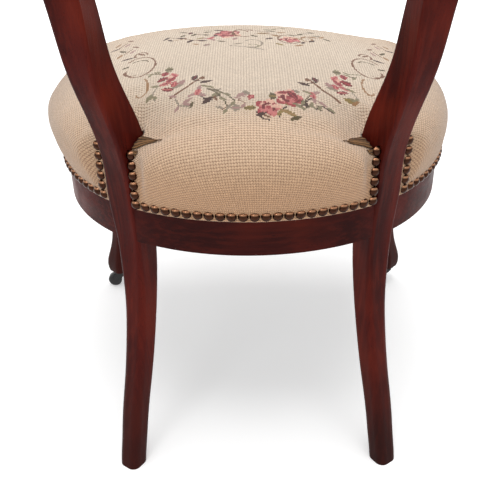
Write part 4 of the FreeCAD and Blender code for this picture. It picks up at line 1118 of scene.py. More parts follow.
def faces_of(thing: bpy.types.Object) -> np.ndarray:
    """Corner vertices of each face of a mesh made of quads."""
    return read(thing.data.loops, "vertex_index", 1, np.int32).reshape(-1, 4)


def edge_ends(thing: bpy.types.Object) -> np.ndarray:
    """Both vertices of each edge."""
    return read(thing.data.edges, "vertices", 2, np.int32).reshape(-1, 2)


def border_edges(thing: bpy.types.Object) -> np.ndarray:
    """Which edges have one face only."""
    used = read(thing.data.loops, "edge_index", 1, np.int32)
    return np.bincount(used, minlength=len(thing.data.edges)) == 1


def border(thing: bpy.types.Object) -> np.ndarray:
    """Find the border of a mesh.

    Args:
        thing: The object.

    Returns:
        Which vertices lie on it.
    """
    mask = np.zeros(len(thing.data.vertices), bool)
    mask[edge_ends(thing)[border_edges(thing)].ravel()] = True
    return mask


def edit_faces(thing: bpy.types.Object, mask: np.ndarray) -> None:
    """Enter edit mode with exactly these faces selected.

    Args:
        thing: The active object.
        mask: Which faces.
    """
    bpy.ops.object.mode_set(mode="EDIT")
    bpy.ops.mesh.select_mode(type="FACE")
    bpy.ops.mesh.select_all(action="DESELECT")
    bpy.ops.object.mode_set(mode="OBJECT")
    thing.data.polygons.foreach_set("select", mask)
    bpy.ops.object.mode_set(mode="EDIT")


def select_edges(thing: bpy.types.Object, mask: np.ndarray) -> None:
    """Select exactly these edges and their ends.

    Args:
        thing: The active object.
        mask: Which edges.
    """
    mesh = thing.data
    bpy.ops.object.mode_set(mode="EDIT")
    bpy.ops.mesh.select_mode(type="EDGE")
    bpy.ops.object.mode_set(mode="OBJECT")
    vertices = np.zeros(len(mesh.vertices), bool)
    vertices[edge_ends(thing)[mask].ravel()] = True
    mesh.polygons.foreach_set("select", np.zeros(len(mesh.polygons), bool))
    mesh.vertices.foreach_set("select", vertices)
    mesh.edges.foreach_set("select", mask)


def surface(thing: bpy.types.Object) -> BVHTree:
    """Make the faces of an object ready for measuring.

    Args:
        thing: The object.

    Returns:
        Its search tree.
    """
    mesh = thing.data
    return BVHTree.FromPolygons([vertex.co for vertex in mesh.vertices],
                                [polygon.vertices for polygon in mesh.polygons])


def polar(plan: np.ndarray) -> tuple[np.ndarray, np.ndarray]:
    """Angle and distance of points in plan."""
    return np.arctan2(plan[:, 1], plan[:, 0]), np.hypot(plan[:, 0], plan[:, 1])


def planar(angle: np.ndarray, reach: np.ndarray) -> np.ndarray:
    """Points in plan at these angles and distances."""
    return np.column_stack([reach * np.cos(angle), reach * np.sin(angle)])


# ---------------------------------------------------------------- stuffed seat


@dataclass(frozen=True)
class NailLine:
    """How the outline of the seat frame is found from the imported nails."""

    nodes: tuple = ("back_nails", "side_and_front_nails")
    arcs: int = 360
    points: int = 4
    dome: float = 0.004
    nail_out: float = 0.00236
    smoothing: int = 9


@dataclass(frozen=True)
class Sag:
    """How the old stuffing has settled. Angles are degrees from +X, heights are where it sets in."""

    slack_angle: float = 195.0
    slack_share: float = 0.68
    slack_height: float = 0.38
    proud_angle: float = -40.0
    proud_share: float = 0.5
    sharpness: int = 6
    lean: float = 0.003
    lean_height: float = 0.44
    crown_rise: float = 0.0038
    crown_side: float = 0.043
    crown_reach: float = 0.105
    crown_least: float = -2.8
    crown_heights: tuple = (0.41, 0.45)


@dataclass(frozen=True)
class Tuck:
    """The hollow that each stile draws into the cloth, and the crease that runs from it."""

    heights: tuple = (0.385, 0.425)
    depth: float = 0.019
    reach: float = 0.030
    outer: float = 0.3
    crease_depth: float = 0.0068
    crease_width: float = 0.0075
    crease_length: float = 0.11
    crease_back: float = 0.02
    crease_slope: float = 0.1
    crease_start: float = 0.02


@dataclass(frozen=True)
class Notch:
    """How the cloth lies around a stile. Overlap is a share of the snap, which is in stitches."""

    clearance: float = 0.0008
    overlap: float = 0.2
    snap: float = 3.2
    flat: float = 0.0125
    flat_out: float = 0.0026
    flat_ramp: float = 0.03
    loose_out: float = 0.03
    front: float = -0.02
    front_out: float = 1.0
    nailed: float = 0.02


@dataclass(frozen=True)
class Stuffing:
    """How the stuffing presses the cloth out."""

    pressure: float = 4.0
    frames: int = 20
    movement: float = 0.0025
    quality: int = 5
    stretch: float = 30.0
    bend: float = 1.5


class HemStep(Enum):
    """The steps in which the edge of the cloth is turned in."""

    WALL = 0
    RAIL = 1
    LEDGE = 2
    CANVAS = 3


@dataclass(frozen=True)
class Hem:
    """How far the edge is turned in: through the wall, over the rail, along it, onto the canvas."""

    beside: float = 0.0045
    before: float = -0.004
    gap: float = 0.0015
    wall: float = 0.0018
    above: float = 0.0006
    ledge: float = 0.007
    stile_ledge: float = 0.002
    stile_height: float = 0.377
    canvas_ring: float = 0.6
    canvas_top: float = 0.3975


@dataclass(frozen=True)
class SeatSizes:
    """Sizes of the stuffed seat.

    The profile runs from the hem to the middle of the crown: how far outside the frame, how high.
    """

    centre: tuple = (0.0, -0.00446)
    rail_top: float = 0.361
    half_width: float = 0.236
    stitch: float = 0.0031
    cells: int = 118
    hem_left: float = 0.2
    profile_steps: int = 240
    profile_smoothing: int = 27
    nails: NailLine = NailLine()
    sag: Sag = Sag()
    tuck: Tuck = Tuck()
    notch: Notch = Notch()
    stuffing: Stuffing = Stuffing()
    hem: Hem = Hem()
    profile: tuple = (
        (0.0021, 0.3455), (0.0024, 0.3548), (0.0056, 0.361), (0.0102, 0.3728), (0.0151, 0.3865),
        (0.0175, 0.3992), (0.0158, 0.412), (0.0074, 0.4247), (-0.0096, 0.4355), (-0.0385, 0.4458),
        (-0.084, 0.4541), (-0.145, 0.459), (-0.2, 0.4605), (-0.236, 0.461),
    )


@dataclass(frozen=True)
class StileSizes:
    """Where a stile is looked for, and the angle at which it is turned.

    The stations give the height, the place beside and the place behind of its middle.
    """

    turn: float = 35.5
    lowest: float = 0.335
    highest: float = 0.49
    step: float = 0.006
    heights: tuple = (0.347, 0.4, 0.44, 0.5)
    beside: tuple = (0.1377, 0.1377, 0.1437, 0.1587)
    behind: tuple = (0.142, 0.148, 0.156, 0.168)
    half: float = 0.02
    corner_height: float = 0.425


class Stile:
    """One stile where it passes through the seat."""

    def __init__(self, node: str, side: int, centre: tuple, sizes: StileSizes) -> None:
        """Measure the stile's faces at several heights.

        Args:
            node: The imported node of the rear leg.
            side: 1 to the sitter's left, -1 to the right.
            centre: Middle of the seat in plan.
            sizes: Where the stile is looked for.
        """
        turn = math.radians(sizes.turn)
        self.across = np.array([math.cos(turn) * side, -math.sin(turn)])
        self.outward = np.array([math.sin(turn) * side, math.cos(turn)])
        self.heights = np.arange(sizes.lowest, sizes.highest, sizes.step)
        wood = surface(frame["nodes"][node])
        rows = []
        for height in self.heights:
            x = np.interp(height, sizes.heights, sizes.beside) * side
            y = np.interp(height, sizes.heights, sizes.behind) + centre[1]
            spans = []
            for way in (self.across, -self.across, -self.outward):
                hit = wood.ray_cast(Vector((x, y, height)), Vector((*way, 0.0)))
                spans.append(hit[3] if hit[0] is not None else sizes.half)
            rows.append((x, y, *spans))
        self.table = np.array(rows)
        x, y, _, left, inner = self.faces(sizes.corner_height)
        self.corner = np.array([x, y]) - self.across * left - self.outward * inner

    def faces(self, height: np.ndarray) -> tuple[np.ndarray, ...]:
        """Read the stile at some heights.

        Args:
            height: The heights.

        Returns:
            Its middle's X and Y, then the distances to its right, left and inner faces.
        """
        return tuple(np.interp(height, self.heights, column) for column in self.table.T)

    def near(self, points: np.ndarray) -> np.ndarray:
        """Which points lie in the stile's quarter of the seat."""
        return (points[:, 0] * self.across[0] > 0) & (points[:, 1] > 0)

    def local(self, points: np.ndarray) -> tuple[np.ndarray, np.ndarray, np.ndarray]:
        """Where points lie about the stile.

        Args:
            points: Points, one per row.

        Returns:
            Distance across from the nearer side face (negative inside), distance outwards from the
            inner face (negative in front of it), and the side, 1 or -1.
        """
        x, y, right, left, inner = self.faces(points[:, 2])
        away = points[:, :2] - np.column_stack([x, y])
        across = away @ self.across
        outward = away @ self.outward
        side = np.where(across >= (right - left) / 2, 1.0, -1.0)
        return across * side - np.where(side > 0, right, left), outward + inner, side


class Seat:
    """The needlework seat: one closed, stuffed piece."""

    def __init__(self, sizes: SeatSizes) -> None:
        """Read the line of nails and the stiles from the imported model.

        Args:
            sizes: The seat's sizes.
        """
        self.sizes = sizes
        self.angles, self.radii = self._nail_line()
        self.stiles = [Stile(node, side, sizes.centre, StileSizes())
                       for node, side in (("rear_leg_left", 1), ("rear_leg_right", -1))]
        self.out, self.height = self._smooth_profile()

    def _nail_line(self) -> tuple[np.ndarray, np.ndarray]:
        """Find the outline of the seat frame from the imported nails.

        Returns:
            Angles all around, and the radius at each.
        """
        nails = self.sizes.nails
        centre = np.array(self.sizes.centre, np.float32)
        found = []
        for node in nails.nodes:
            plan = coordinates(frame["nodes"][node])[:, :2].astype(np.float32)
            found.append(np.column_stack(polar(plan - centre)))
        found = np.vstack(found)
        bins = np.linspace(-math.pi, math.pi, nails.arcs + 1)
        place = np.digitize(found[:, 0], bins) - 1
        angles, radii = [], []
        for number in range(nails.arcs):
            reach = found[place == number, 1]
            if len(reach) > nails.points:
                angles.append((bins[number] + bins[number + 1]) / 2)
                radii.append(reach.max() - nails.dome - nails.nail_out)
        angles = np.array(angles)
        around = np.concatenate([angles - 2 * math.pi, angles, angles + 2 * math.pi])
        even = np.linspace(-math.pi, math.pi, 2 * nails.arcs + 1)
        line = np.interp(even, around, np.tile(np.array(radii), 3))
        kernel = np.hanning(nails.smoothing)
        beyond = nails.smoothing - 1
        padded = np.concatenate([line[-beyond - 1:-1], line, line[1:beyond + 1]])
        return even, np.convolve(padded, kernel / kernel.sum(), "same")[beyond:-beyond]

    def _smooth_profile(self) -> tuple[np.ndarray, ...]:
        """Draw the profile as a fine smooth line.

        Returns:
            Distances outside the frame and heights, from the middle of the crown to the hem.
        """
        sizes = self.sizes
        points = np.array(sizes.profile[::-1])
        steps = np.linspace(0, len(points) - 1, sizes.profile_steps)
        kernel = np.hanning(sizes.profile_smoothing)
        kernel /= kernel.sum()
        lines = []
        for column in points.T:
            fine = np.interp(steps, np.arange(len(points)), column)
            padded = np.pad(fine, sizes.profile_smoothing // 2, mode="reflect", reflect_type="odd")
            lines.append(np.convolve(padded, kernel, "valid"))
        return tuple(lines)

    def outline(self, angle: np.ndarray) -> np.ndarray:
        """Radius of the seat frame at an angle."""
        return np.interp(angle, self.angles, self.radii)

    def lay(self, flat: np.ndarray) -> tuple[np.ndarray, np.ndarray]:
        """Lay flat cloth over the stuffing.

        Args:
            flat: Points of the cloth, from the middle of the seat.

        Returns:
            The points in space, and how far each lies from the hem along the cloth.
        """
        sizes = self.sizes
        angle, reach = polar(flat)
        outline = self.outline(angle)[:, None]
        out, up = self.out[None, :], self.height[None, :]
        radius = np.where(out > 0, outline + out, outline * (1 + out / sizes.half_width))
        radius[:, 0] = 0.0
        run = np.hypot(np.diff(radius, axis=1), np.diff(np.broadcast_to(up, radius.shape), axis=1))
        length = np.concatenate([np.zeros((len(flat), 1)), np.cumsum(run, axis=1)], axis=1)
        total = length[:, -1]
        wanted = np.minimum(reach, total)
        low = np.clip((length <= wanted[:, None]).sum(axis=1) - 1, 0, length.shape[1] - 2)
        rows = np.arange(len(flat))
        start, end = length[rows, low], length[rows, low + 1]
        share = (wanted - start) / np.maximum(end - start, TINY)
        place = radius[rows, low] * (1 - share) + radius[rows, low + 1] * share
        height = self.height[low] * (1 - share) + self.height[low + 1] * share
        points = np.column_stack([planar(angle, place) + sizes.centre, height])
        return self._tuck(self._pull(self._settle(points))), total - reach

    def _settle(self, points: np.ndarray) -> np.ndarray:
        """Lean the old stuffing to one side and let the other side go slack.

        Args:
            points: Points of the cloth.

        Returns:
            The moved points.
        """
        sizes, sag = self.sizes, self.sizes.sag
        height = points[:, 2]
        angle, reach = polar(points[:, :2] - sizes.centre)
        slack = np.clip(np.cos(angle - math.radians(sag.slack_angle)), 0, 1) ** sag.sharpness
        proud = np.clip(np.cos(angle - math.radians(sag.proud_angle)), 0, 1) ** sag.sharpness
        pull = sag.slack_share * slack - sag.proud_share * proud
        overhang = np.maximum(reach - self.outline(angle), 0)
        reach = reach - overhang * pull * smooth_step(sizes.rail_top, sag.slack_height, height)
        x, y = (planar(angle, reach) + sizes.centre).T
        x = x + sag.lean * smooth_step(sizes.rail_top, sag.lean_height, height)
        arch = np.maximum(1 - ((x - sag.crown_side) / sag.crown_reach) ** 2, sag.crown_least)
        rise = sag.crown_rise * arch * smooth_step(*sag.crown_heights, height)
        return np.column_stack([x, y, height + rise])

    def _tuck(self, points: np.ndarray) -> np.ndarray:
        """Draw the cloth down around each stile, with a crease towards the middle.

        Args:
            points: Points of the cloth.

        Returns:
            The moved points.
        """
        tuck = self.sizes.tuck
        points = points.copy()
        loose = smooth_step(*tuck.heights, points[:, 2])
        for stile in self.stiles:
            across, outward, side = stile.local(points)
            away = np.hypot(np.maximum(across, 0), np.maximum(-outward, 0))
            depth = tuck.depth * np.exp(-(away / tuck.reach) ** 2) * np.where(side < 0, 1.0, tuck.outer)
            inwards = (stile.corner[0] - points[:, 0]) * np.sign(stile.corner[0])
            along = np.clip(inwards / tuck.crease_length, 0, 1)
            off = points[:, 1] - stile.corner[1] - tuck.crease_back - tuck.crease_slope * inwards
            crease = np.exp(-(off / tuck.crease_width) ** 2) * (1 - along)
            crease = crease * smooth_step(0, tuck.crease_start, inwards)
            points[:, 2] -= loose * (depth + tuck.crease_depth * crease)
        return points

    def _pull(self, points: np.ndarray) -> np.ndarray:
        """Pull the cloth flat beside the stiles, where the nails climb.

        Args:
            points: Points of the cloth.

        Returns:
            The moved points.
        """
        sizes, notch = self.sizes, self.sizes.notch
        angle, reach = polar(points[:, :2] - sizes.centre)
        outline = self.outline(angle)
        for stile in self.stiles:
            across, outward, _ = stile.local(points)
            loose = smooth_step(notch.flat, notch.flat + notch.flat_ramp, across)
            limit = notch.flat_out + loose * notch.loose_out + notch.front_out * (outward < notch.front)
            reach = outline + np.minimum(reach - outline, limit)
        return np.column_stack([planar(angle, reach) + sizes.centre, points[:, 2]])

    def in_notch(self, points: np.ndarray) -> np.ndarray:
        """Find what has to be cut away for the stiles.

        Args:
            points: Points of the cloth.

        Returns:
            Which points lie where a stile passes.
        """
        gap = self.sizes.notch.clearance
        inside = np.zeros(len(points), bool)
        for stile in self.stiles:
            across, outward, _ = stile.local(points)
            inside |= stile.near(points) & (across < gap) & (outward > -gap)
        return inside

    def to_notch(self, points: np.ndarray) -> tuple[np.ndarray, np.ndarray]:
        """Move points that lie near a notch onto its edge.

        Args:
            points: Points of the cloth.

        Returns:
            The moved points and which of them moved.
        """
        notch = self.sizes.notch
        gap, reach = notch.clearance, notch.snap * self.sizes.stitch
        points = points.copy()
        moved = np.zeros(len(points), bool)
        for stile in self.stiles:
            across, outward, side = stile.local(points)
            near = stile.near(points)
            beside = near & (outward > -gap - reach * notch.overlap) & (np.abs(across - gap) < reach)
            before = near & ~beside & (across < gap + reach) & (np.abs(-gap - outward) < reach)
            sideways = beside | before & (across > gap)
            points[:, :2] -= np.where(sideways, (across - gap) * side, 0.0)[:, None] * stile.across
            points[:, :2] += np.where(before, -gap - outward, 0.0)[:, None] * stile.outward
            moved |= beside | before
        return points, moved

    def cut(self) -> bpy.types.Object:
        """Cut the flat cloth to the outline of the seat and the stiles.

        Returns:
            The cloth, whose faces are two stitches wide.
        """
        sizes = self.sizes
        bpy.ops.object.select_all(action="DESELECT")
        bpy.ops.mesh.primitive_grid_add(x_subdivisions=sizes.cells, y_subdivisions=sizes.cells,
                                        size=2 * sizes.stitch * sizes.cells)
        cloth = bpy.context.object
        cloth.name = "needlework_seat"
        points, left = self.lay(coordinates(cloth)[faces_of(cloth)].mean(axis=1))
        gone = (left < sizes.hem_left * sizes.stitch) | self.in_notch(points)
        while gone.any():
            edit_faces(cloth, gone)
            bpy.ops.mesh.delete(type="FACE")
            bpy.ops.object.mode_set(mode="OBJECT")
            crossings = np.bincount(edge_ends(cloth)[border_edges(cloth)].ravel(),
                                    minlength=len(cloth.data.vertices)) > 2
            gone = crossings[faces_of(cloth)].any(axis=1)
        return cloth

    def drape(self, cloth: bpy.types.Object) -> np.ndarray:
        """Lay the cut cloth over the stuffing and mark what is nailed down.

        Args:
            cloth: The flat cloth.

        Returns:
            Which vertices are fixed.
        """
        sizes, notch = self.sizes, self.sizes.notch
        flat = coordinates(cloth)
        edge = border(cloth)
        points, left = self.lay(flat)
        snapped, at_notch = self.to_notch(points)
        at_notch &= edge
        at_hem = edge & ~at_notch
        _, reach = polar(flat)
        hem_points, _ = self.lay(flat * ((reach + left) / np.maximum(reach, TINY))[:, None])
        points[at_hem] = hem_points[at_hem]
        points[at_notch] = snapped[at_notch]
        fixed = edge | (points[:, 2] < sizes.rail_top)
        for stile in self.stiles:
            across, outward, _ = stile.local(points)
            fixed |= stile.near(points) & (across < notch.flat) & (outward > notch.nailed)
        write(cloth, points)
        return fixed

    def inflate(self, cloth: bpy.types.Object, fixed: np.ndarray) -> None:
        """Let the stuffing press the cloth out.

        Args:
            cloth: The cloth.
            fixed: Which vertices are nailed down.
        """
        stuffing = self.sizes.stuffing
        before = coordinates(cloth)
        group = cloth.vertex_groups.new(name="nailed")
        group.add(np.flatnonzero(fixed).tolist(), 1.0, "REPLACE")
        modifier = cloth.modifiers.new("stuffing", "CLOTH")
        settings = modifier.settings
        settings.vertex_group_mass = group.name
        settings.use_pressure = True
        settings.uniform_pressure_force = stuffing.pressure
        settings.effector_weights.gravity = 0.0
        settings.quality = stuffing.quality
        settings.tension_stiffness = stuffing.stretch
        settings.compression_stiffness = stuffing.stretch
        settings.bending_stiffness = stuffing.bend
        for number in range(1, stuffing.frames + 1):
            bpy.context.scene.frame_set(number)
        bpy.context.view_layer.objects.active = cloth
        bpy.ops.object.modifier_apply(modifier=modifier.name)
        cloth.vertex_groups.clear()
        step = coordinates(cloth) - before
        length = np.linalg.norm(step, axis=1)
        LOG.info("cloth moved up to %.1f mm, mean %.1f mm", 1000 * length.max(), 1000 * length.mean())
        step *= np.minimum(1.0, stuffing.movement / np.maximum(length, TINY))[:, None]
        write(cloth, before + step)

    def refine(self, cloth: bpy.types.Object) -> None:
        """Round the cloth, with a face for each stitch.

        Args:
            cloth: The cloth.
        """
        modifier = cloth.modifiers.new("fine", "SUBSURF")
        modifier.levels = 1
        modifier.uv_smooth = "NONE"
        modifier.boundary_smooth = "PRESERVE_CORNERS"
        bpy.context.view_layer.objects.active = cloth
        bpy.ops.object.modifier_apply(modifier=modifier.name)

    def close(self, cloth: bpy.types.Object) -> None:
        """Turn the edge in over the rails and the springs, so that the piece is closed.

        Args:
            cloth: The cloth.
        """
        select_edges(cloth, border_edges(cloth))
        for step in HemStep:
            bpy.ops.object.mode_set(mode="EDIT")
            bpy.ops.mesh.extrude_edges_move()
            bpy.ops.object.mode_set(mode="OBJECT")
            chosen = read(cloth.data.vertices, "select", 1, bool)
            points = coordinates(cloth)
            points[chosen] = self._turned_in(points[chosen], step)
            write(cloth, points)
        bpy.ops.object.mode_set(mode="EDIT")
        bpy.ops.mesh.merge(type="CENTER")
        bpy.ops.mesh.select_all(action="SELECT")
        bpy.ops.mesh.normals_make_consistent(inside=False)
        bpy.ops.object.mode_set(mode="OBJECT")

    def _turned_in(self, points: np.ndarray, step: HemStep) -> np.ndarray:
        """Turn the edge in by one step.

        Args:
            points: Points of the edge.
            step: Which step.

        Returns:
            The moved points.
        """
        sizes, hem = self.sizes, self.sizes.hem
        points = points.copy()
        angle, _ = polar(points[:, :2] - sizes.centre)
        inward = -planar(angle, np.ones(len(points)))
        beside = np.zeros(len(points), bool)
        depth = np.zeros(len(points))
        for stile in self.stiles:
            across, outward, _ = stile.local(points)
            here = stile.near(points) & (across < hem.beside) & (outward > hem.before)
            inward[here] = -stile.outward
            depth[here] = outward[here] + hem.gap
            beside |= here
        if step is HemStep.WALL:
            points[:, :2] += inward * hem.wall
        elif step is HemStep.RAIL:
            points[:, 2] = np.maximum(points[:, 2], sizes.rail_top + hem.above)
        elif step is HemStep.LEDGE:
            away = np.where(beside, np.maximum(depth, hem.stile_ledge), hem.ledge)
            points[:, :2] += inward * away[:, None]
            points[:, 2] = np.where(beside, np.maximum(points[:, 2], hem.stile_height), points[:, 2])
        else:
            points[:, :2] = planar(angle, hem.canvas_ring * self.outline(angle)) + sizes.centre
            points[:, 2] = hem.canvas_top
        return points

    def colour(self, cloth: bpy.types.Object, chart: Chart) -> None:
        """Halve the faces and give each the wool of its small stitch.

        The fourth value of a colour tells the flowers' small stitches from the ground's whole ones.

        Args:
            cloth: The cloth.
            chart: The needlework.
        """
        bpy.ops.object.mode_set(mode="EDIT")
        bpy.ops.mesh.select_all(action="SELECT")
        bpy.ops.mesh.subdivide(number_cuts=1)
        bpy.ops.object.mode_set(mode="OBJECT")
        row, column = self._stitches(cloth, chart.half)
        small = chart.worked.reshape(2 * chart.half, 2, 2 * chart.half, 2).any(axis=(1, 3))
        colours = np.column_stack([chart.colours[row, column], small[row // 2, column // 2]])
        totals = read(cloth.data.polygons, "loop_total", 1, np.int32)
        attribute = cloth.data.color_attributes.new("wool", "FLOAT_COLOR", "CORNER")
        attribute.data.foreach_set("color", np.repeat(colours, totals, axis=0).astype(np.float32).ravel())

    def _stitches(self, cloth: bpy.types.Object, half: int) -> tuple[np.ndarray, np.ndarray]:
        """Find the small stitch at the middle of each face.

        Args:
            cloth: The cloth.
            half: Stitches from the middle to each side.

        Returns:
            Its row and its column for each face.
        """
        mesh = cloth.data
        places = read(mesh.uv_layers.active.data, "uv", 2, np.float32).reshape(-1, 2)
        starts = read(mesh.polygons, "loop_start", 1, np.int32)
        totals = read(mesh.polygons, "loop_total", 1, np.int32)
        middle = np.add.reduceat(places, starts, axis=0) / totals[:, None]
        index = np.clip(np.floor(middle * 4 * half).astype(int), 0, 4 * half - 1)
        return index[:, 1], index[:, 0]

    def build(self, yarns: Yarns) -> bpy.types.Object:
        """Make the seat.

        Args:
            yarns: The wool.

        Returns:
            The finished piece.
        """
        cells = self.sizes.cells
        cloth = self.cut()
        fixed = self.drape(cloth)
        self.inflate(cloth, fixed)
        self.refine(cloth)
        self.close(cloth)
        self.colour(cloth, Needlework(cells, yarns, Ground()))
        bpy.ops.object.shade_smooth()
        cloth.data.materials.append(needlework_material(cells, yarns, Stitch()))
        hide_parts("seat_cover", "seat_stuffing")
        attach(cloth, SEAT_BODY)
        LOG.info("%s: %d faces", cloth.name, len(cloth.data.polygons))
        return cloth


# ---------------------------------------------------------------- folds


@dataclass(frozen=True)
class TuckedWool:
    """The wrong side of the needlework, brown with age, in pleats whose shade and light are painted as dark
    and pale stripes.
    """

    dark: tuple = linear(58, 38, 24)
    pale: tuple = linear(134, 98, 62)
    pleats: float = 26.0
    mottle: float = 9.0
    mottle_share: float = 2.0
    shade_span: tuple = (0.0, 2.0)
    relief: float = 0.0006
    relief_strength: float = 0.8
    roughness: float = 0.95


@dataclass(frozen=True)
class Fold:
    """A fold of cloth beside a stile: four corners about the stile, across, outwards and up.

    The first and second corners lie at the stile, the third and fourth at the fold's tip.
    """

    name: str
    pleats: int
    corners: tuple


@dataclass(frozen=True)
class FoldSizes:
    """Sizes that all folds share, and the folds. Facing names three vertices that show its way."""

    cells: tuple = (22, 12)
    facing: tuple = (0, 1, 30)
    lift: float = 0.0004
    thick: float = 0.0018
    edge_share: float = 0.35
    tip: float = 0.25
    ripple: float = 0.0007
    skew: float = 3.0
    cloth_share: float = 0.3
    folds: tuple = (
        Fold("tuck", 3, ((-0.0185, 0.0050, 0.417), (-0.0185, -0.0150, 0.424),
                         (-0.0485, -0.0100, 0.434), (-0.0480, -0.0135, 0.434))),
        Fold("gather", 2, ((-0.0190, 0.0150, 0.4115), (-0.0190, 0.0062, 0.417),
                           (-0.0270, 0.0060, 0.418), (-0.0262, 0.0140, 0.412))),
    )


class Folds:
    """The folds of cloth beside the stiles."""

    def __init__(self, sizes: FoldSizes, wool: TuckedWool) -> None:
        """Prepare the finish.

        Args:
            sizes: The folds and their sizes.
            wool: Their finish.
        """
        self.sizes = sizes
        self.material = self._material(wool)

    def _material(self, wool: TuckedWool) -> bpy.types.Material:
        """Make the finish of the folds.

        Args:
            wool: Its colours and relief.

        Returns:
            The material.
        """
        finish = Finish("tucked_wool")
        place = finish.node("ShaderNodeUVMap", uv_map="UVMap").outputs[0]
        parts = finish.node("ShaderNodeSeparateXYZ")
        finish.feed(parts.inputs[0], place)
        # Painted shade: dark and pale stripes across the fold stand in for the shade and light of its
        # pleats, over the cloth's brown.
        stripes = finish.math("SINE", finish.math("MULTIPLY", parts.outputs[1], wool.pleats))
        mottle = finish.math("MULTIPLY", finish.noise(place, wool.mottle), wool.mottle_share)
        shade = finish.span(finish.math("ADD", stripes, mottle), *wool.shade_span, 0.0, 1.0)
        finish.set(Base_Color=finish.mix(shade, wool.dark, wool.pale), Roughness=wool.roughness)
        finish.bump(shade, wool.relief, wool.relief_strength)
        return finish.material

    def lay(self, fold: Fold, stile: Stile, seat: BVHTree, label: str) -> bpy.types.Object:
        """Lay one fold on the seat beside a stile.

        Args:
            fold: Its shape.
            stile: The stile.
            seat: The finished seat's surface.
            label: Its name.

        Returns:
            The fold.
        """
        sizes = self.sizes
        columns, rows = sizes.cells
        bpy.ops.object.select_all(action="DESELECT")
        bpy.ops.mesh.primitive_grid_add(x_subdivisions=columns, y_subdivisions=rows, size=1.0)
        piece = bpy.context.object
        piece.name = label
        flat = coordinates(piece)[:, :2] + 0.5
        u, v = flat[:, :1], flat[:, 1:]
        first, second, third, fourth = (np.array(corner) for corner in fold.corners)
        guess = (1 - u) * ((1 - v) * first + v * second) + u * ((1 - v) * fourth + v * third)
        height = guess[:, 2]
        plan = np.column_stack(stile.faces(height)[:2])
        plan = plan + guess[:, :1] * stile.across + guess[:, 1:2] * stile.outward
        u, v = flat.T
        edge = np.sqrt(4 * v * (1 - v)) * np.sqrt(np.clip((1 - u) / sizes.tip, 0, 1))
        ripple = sizes.ripple * edge * np.sin(2 * math.pi * fold.pleats * v + sizes.skew * u)
        lift = sizes.lift + sizes.thick * (sizes.edge_share + (1 - sizes.edge_share) * edge) + ripple
        points = []
        for (x, y), z, up in zip(plan, height, lift):
            found, normal, _, _ = seat.find_nearest(Vector((x, y, z)))
            points.append(found + normal * up)
        write(piece, np.array(points))
        corner, beside, above = (points[number] for number in sizes.facing)
        if (beside - corner).cross(above - corner).z < 0:
            bpy.ops.object.mode_set(mode="EDIT")
            bpy.ops.mesh.select_all(action="SELECT")
            bpy.ops.mesh.flip_normals()
            bpy.ops.object.mode_set(mode="OBJECT")
        modifier = piece.modifiers.new("cloth", "SOLIDIFY")
        modifier.thickness = sizes.thick * sizes.cloth_share
        modifier.offset = -1.0
        bpy.ops.object.modifier_apply(modifier=modifier.name)
        bpy.ops.object.shade_smooth()
        piece.data.materials.append(self.material)
        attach(piece, SEAT_BODY)
        return piece

    def build(self, cloth: bpy.types.Object, stiles: list[Stile]) -> None:
        """Lay every fold beside both stiles.

        Args:
            cloth: The finished seat.
            stiles: The left and the right stile.
        """
        seat = surface(cloth)
        for side, stile in zip(("left", "right"), stiles):
            for fold in self.sizes.folds:
                piece = self.lay(fold, stile, seat, f"{fold.name}_{side}")
                LOG.info("%s: %d faces", piece.name, len(piece.data.polygons))


# ---------------------------------------------------------------- stage


@dataclass(frozen=True)
class Lamp:
    """A square soft light."""

    name: str
    place: tuple
    target: tuple
    size: float
    watts: float


@dataclass(frozen=True)
class StudioSizes:
    """Camera, lamps and floor. The fade runs between two distances from the chair."""

    eye: tuple = (0.006, 0.87054, 0.725)
    pitch: float = 31.5
    yaw: float = -0.04
    roll: float = -0.97
    lens: float = 52.85
    floor: float = 14.0
    floor_colour: tuple = (0.93, 0.93, 0.93)
    floor_roughness: float = 0.9
    floor_glow: float = 0.3
    floor_fade: tuple = (0.7, 2.4)
    white: tuple = (1.0, 1.0, 1.0)
    sky: float = 0.62
    lamps: tuple = (
        Lamp("overhead", (0.0, 0.25, 2.4), (0.0, 0.0, 0.4), 1.6, 40.0),
        Lamp("left", (0.9, 1.6, 1.9), (0.0, 0.1, 0.5), 0.6, 3.5),
    )


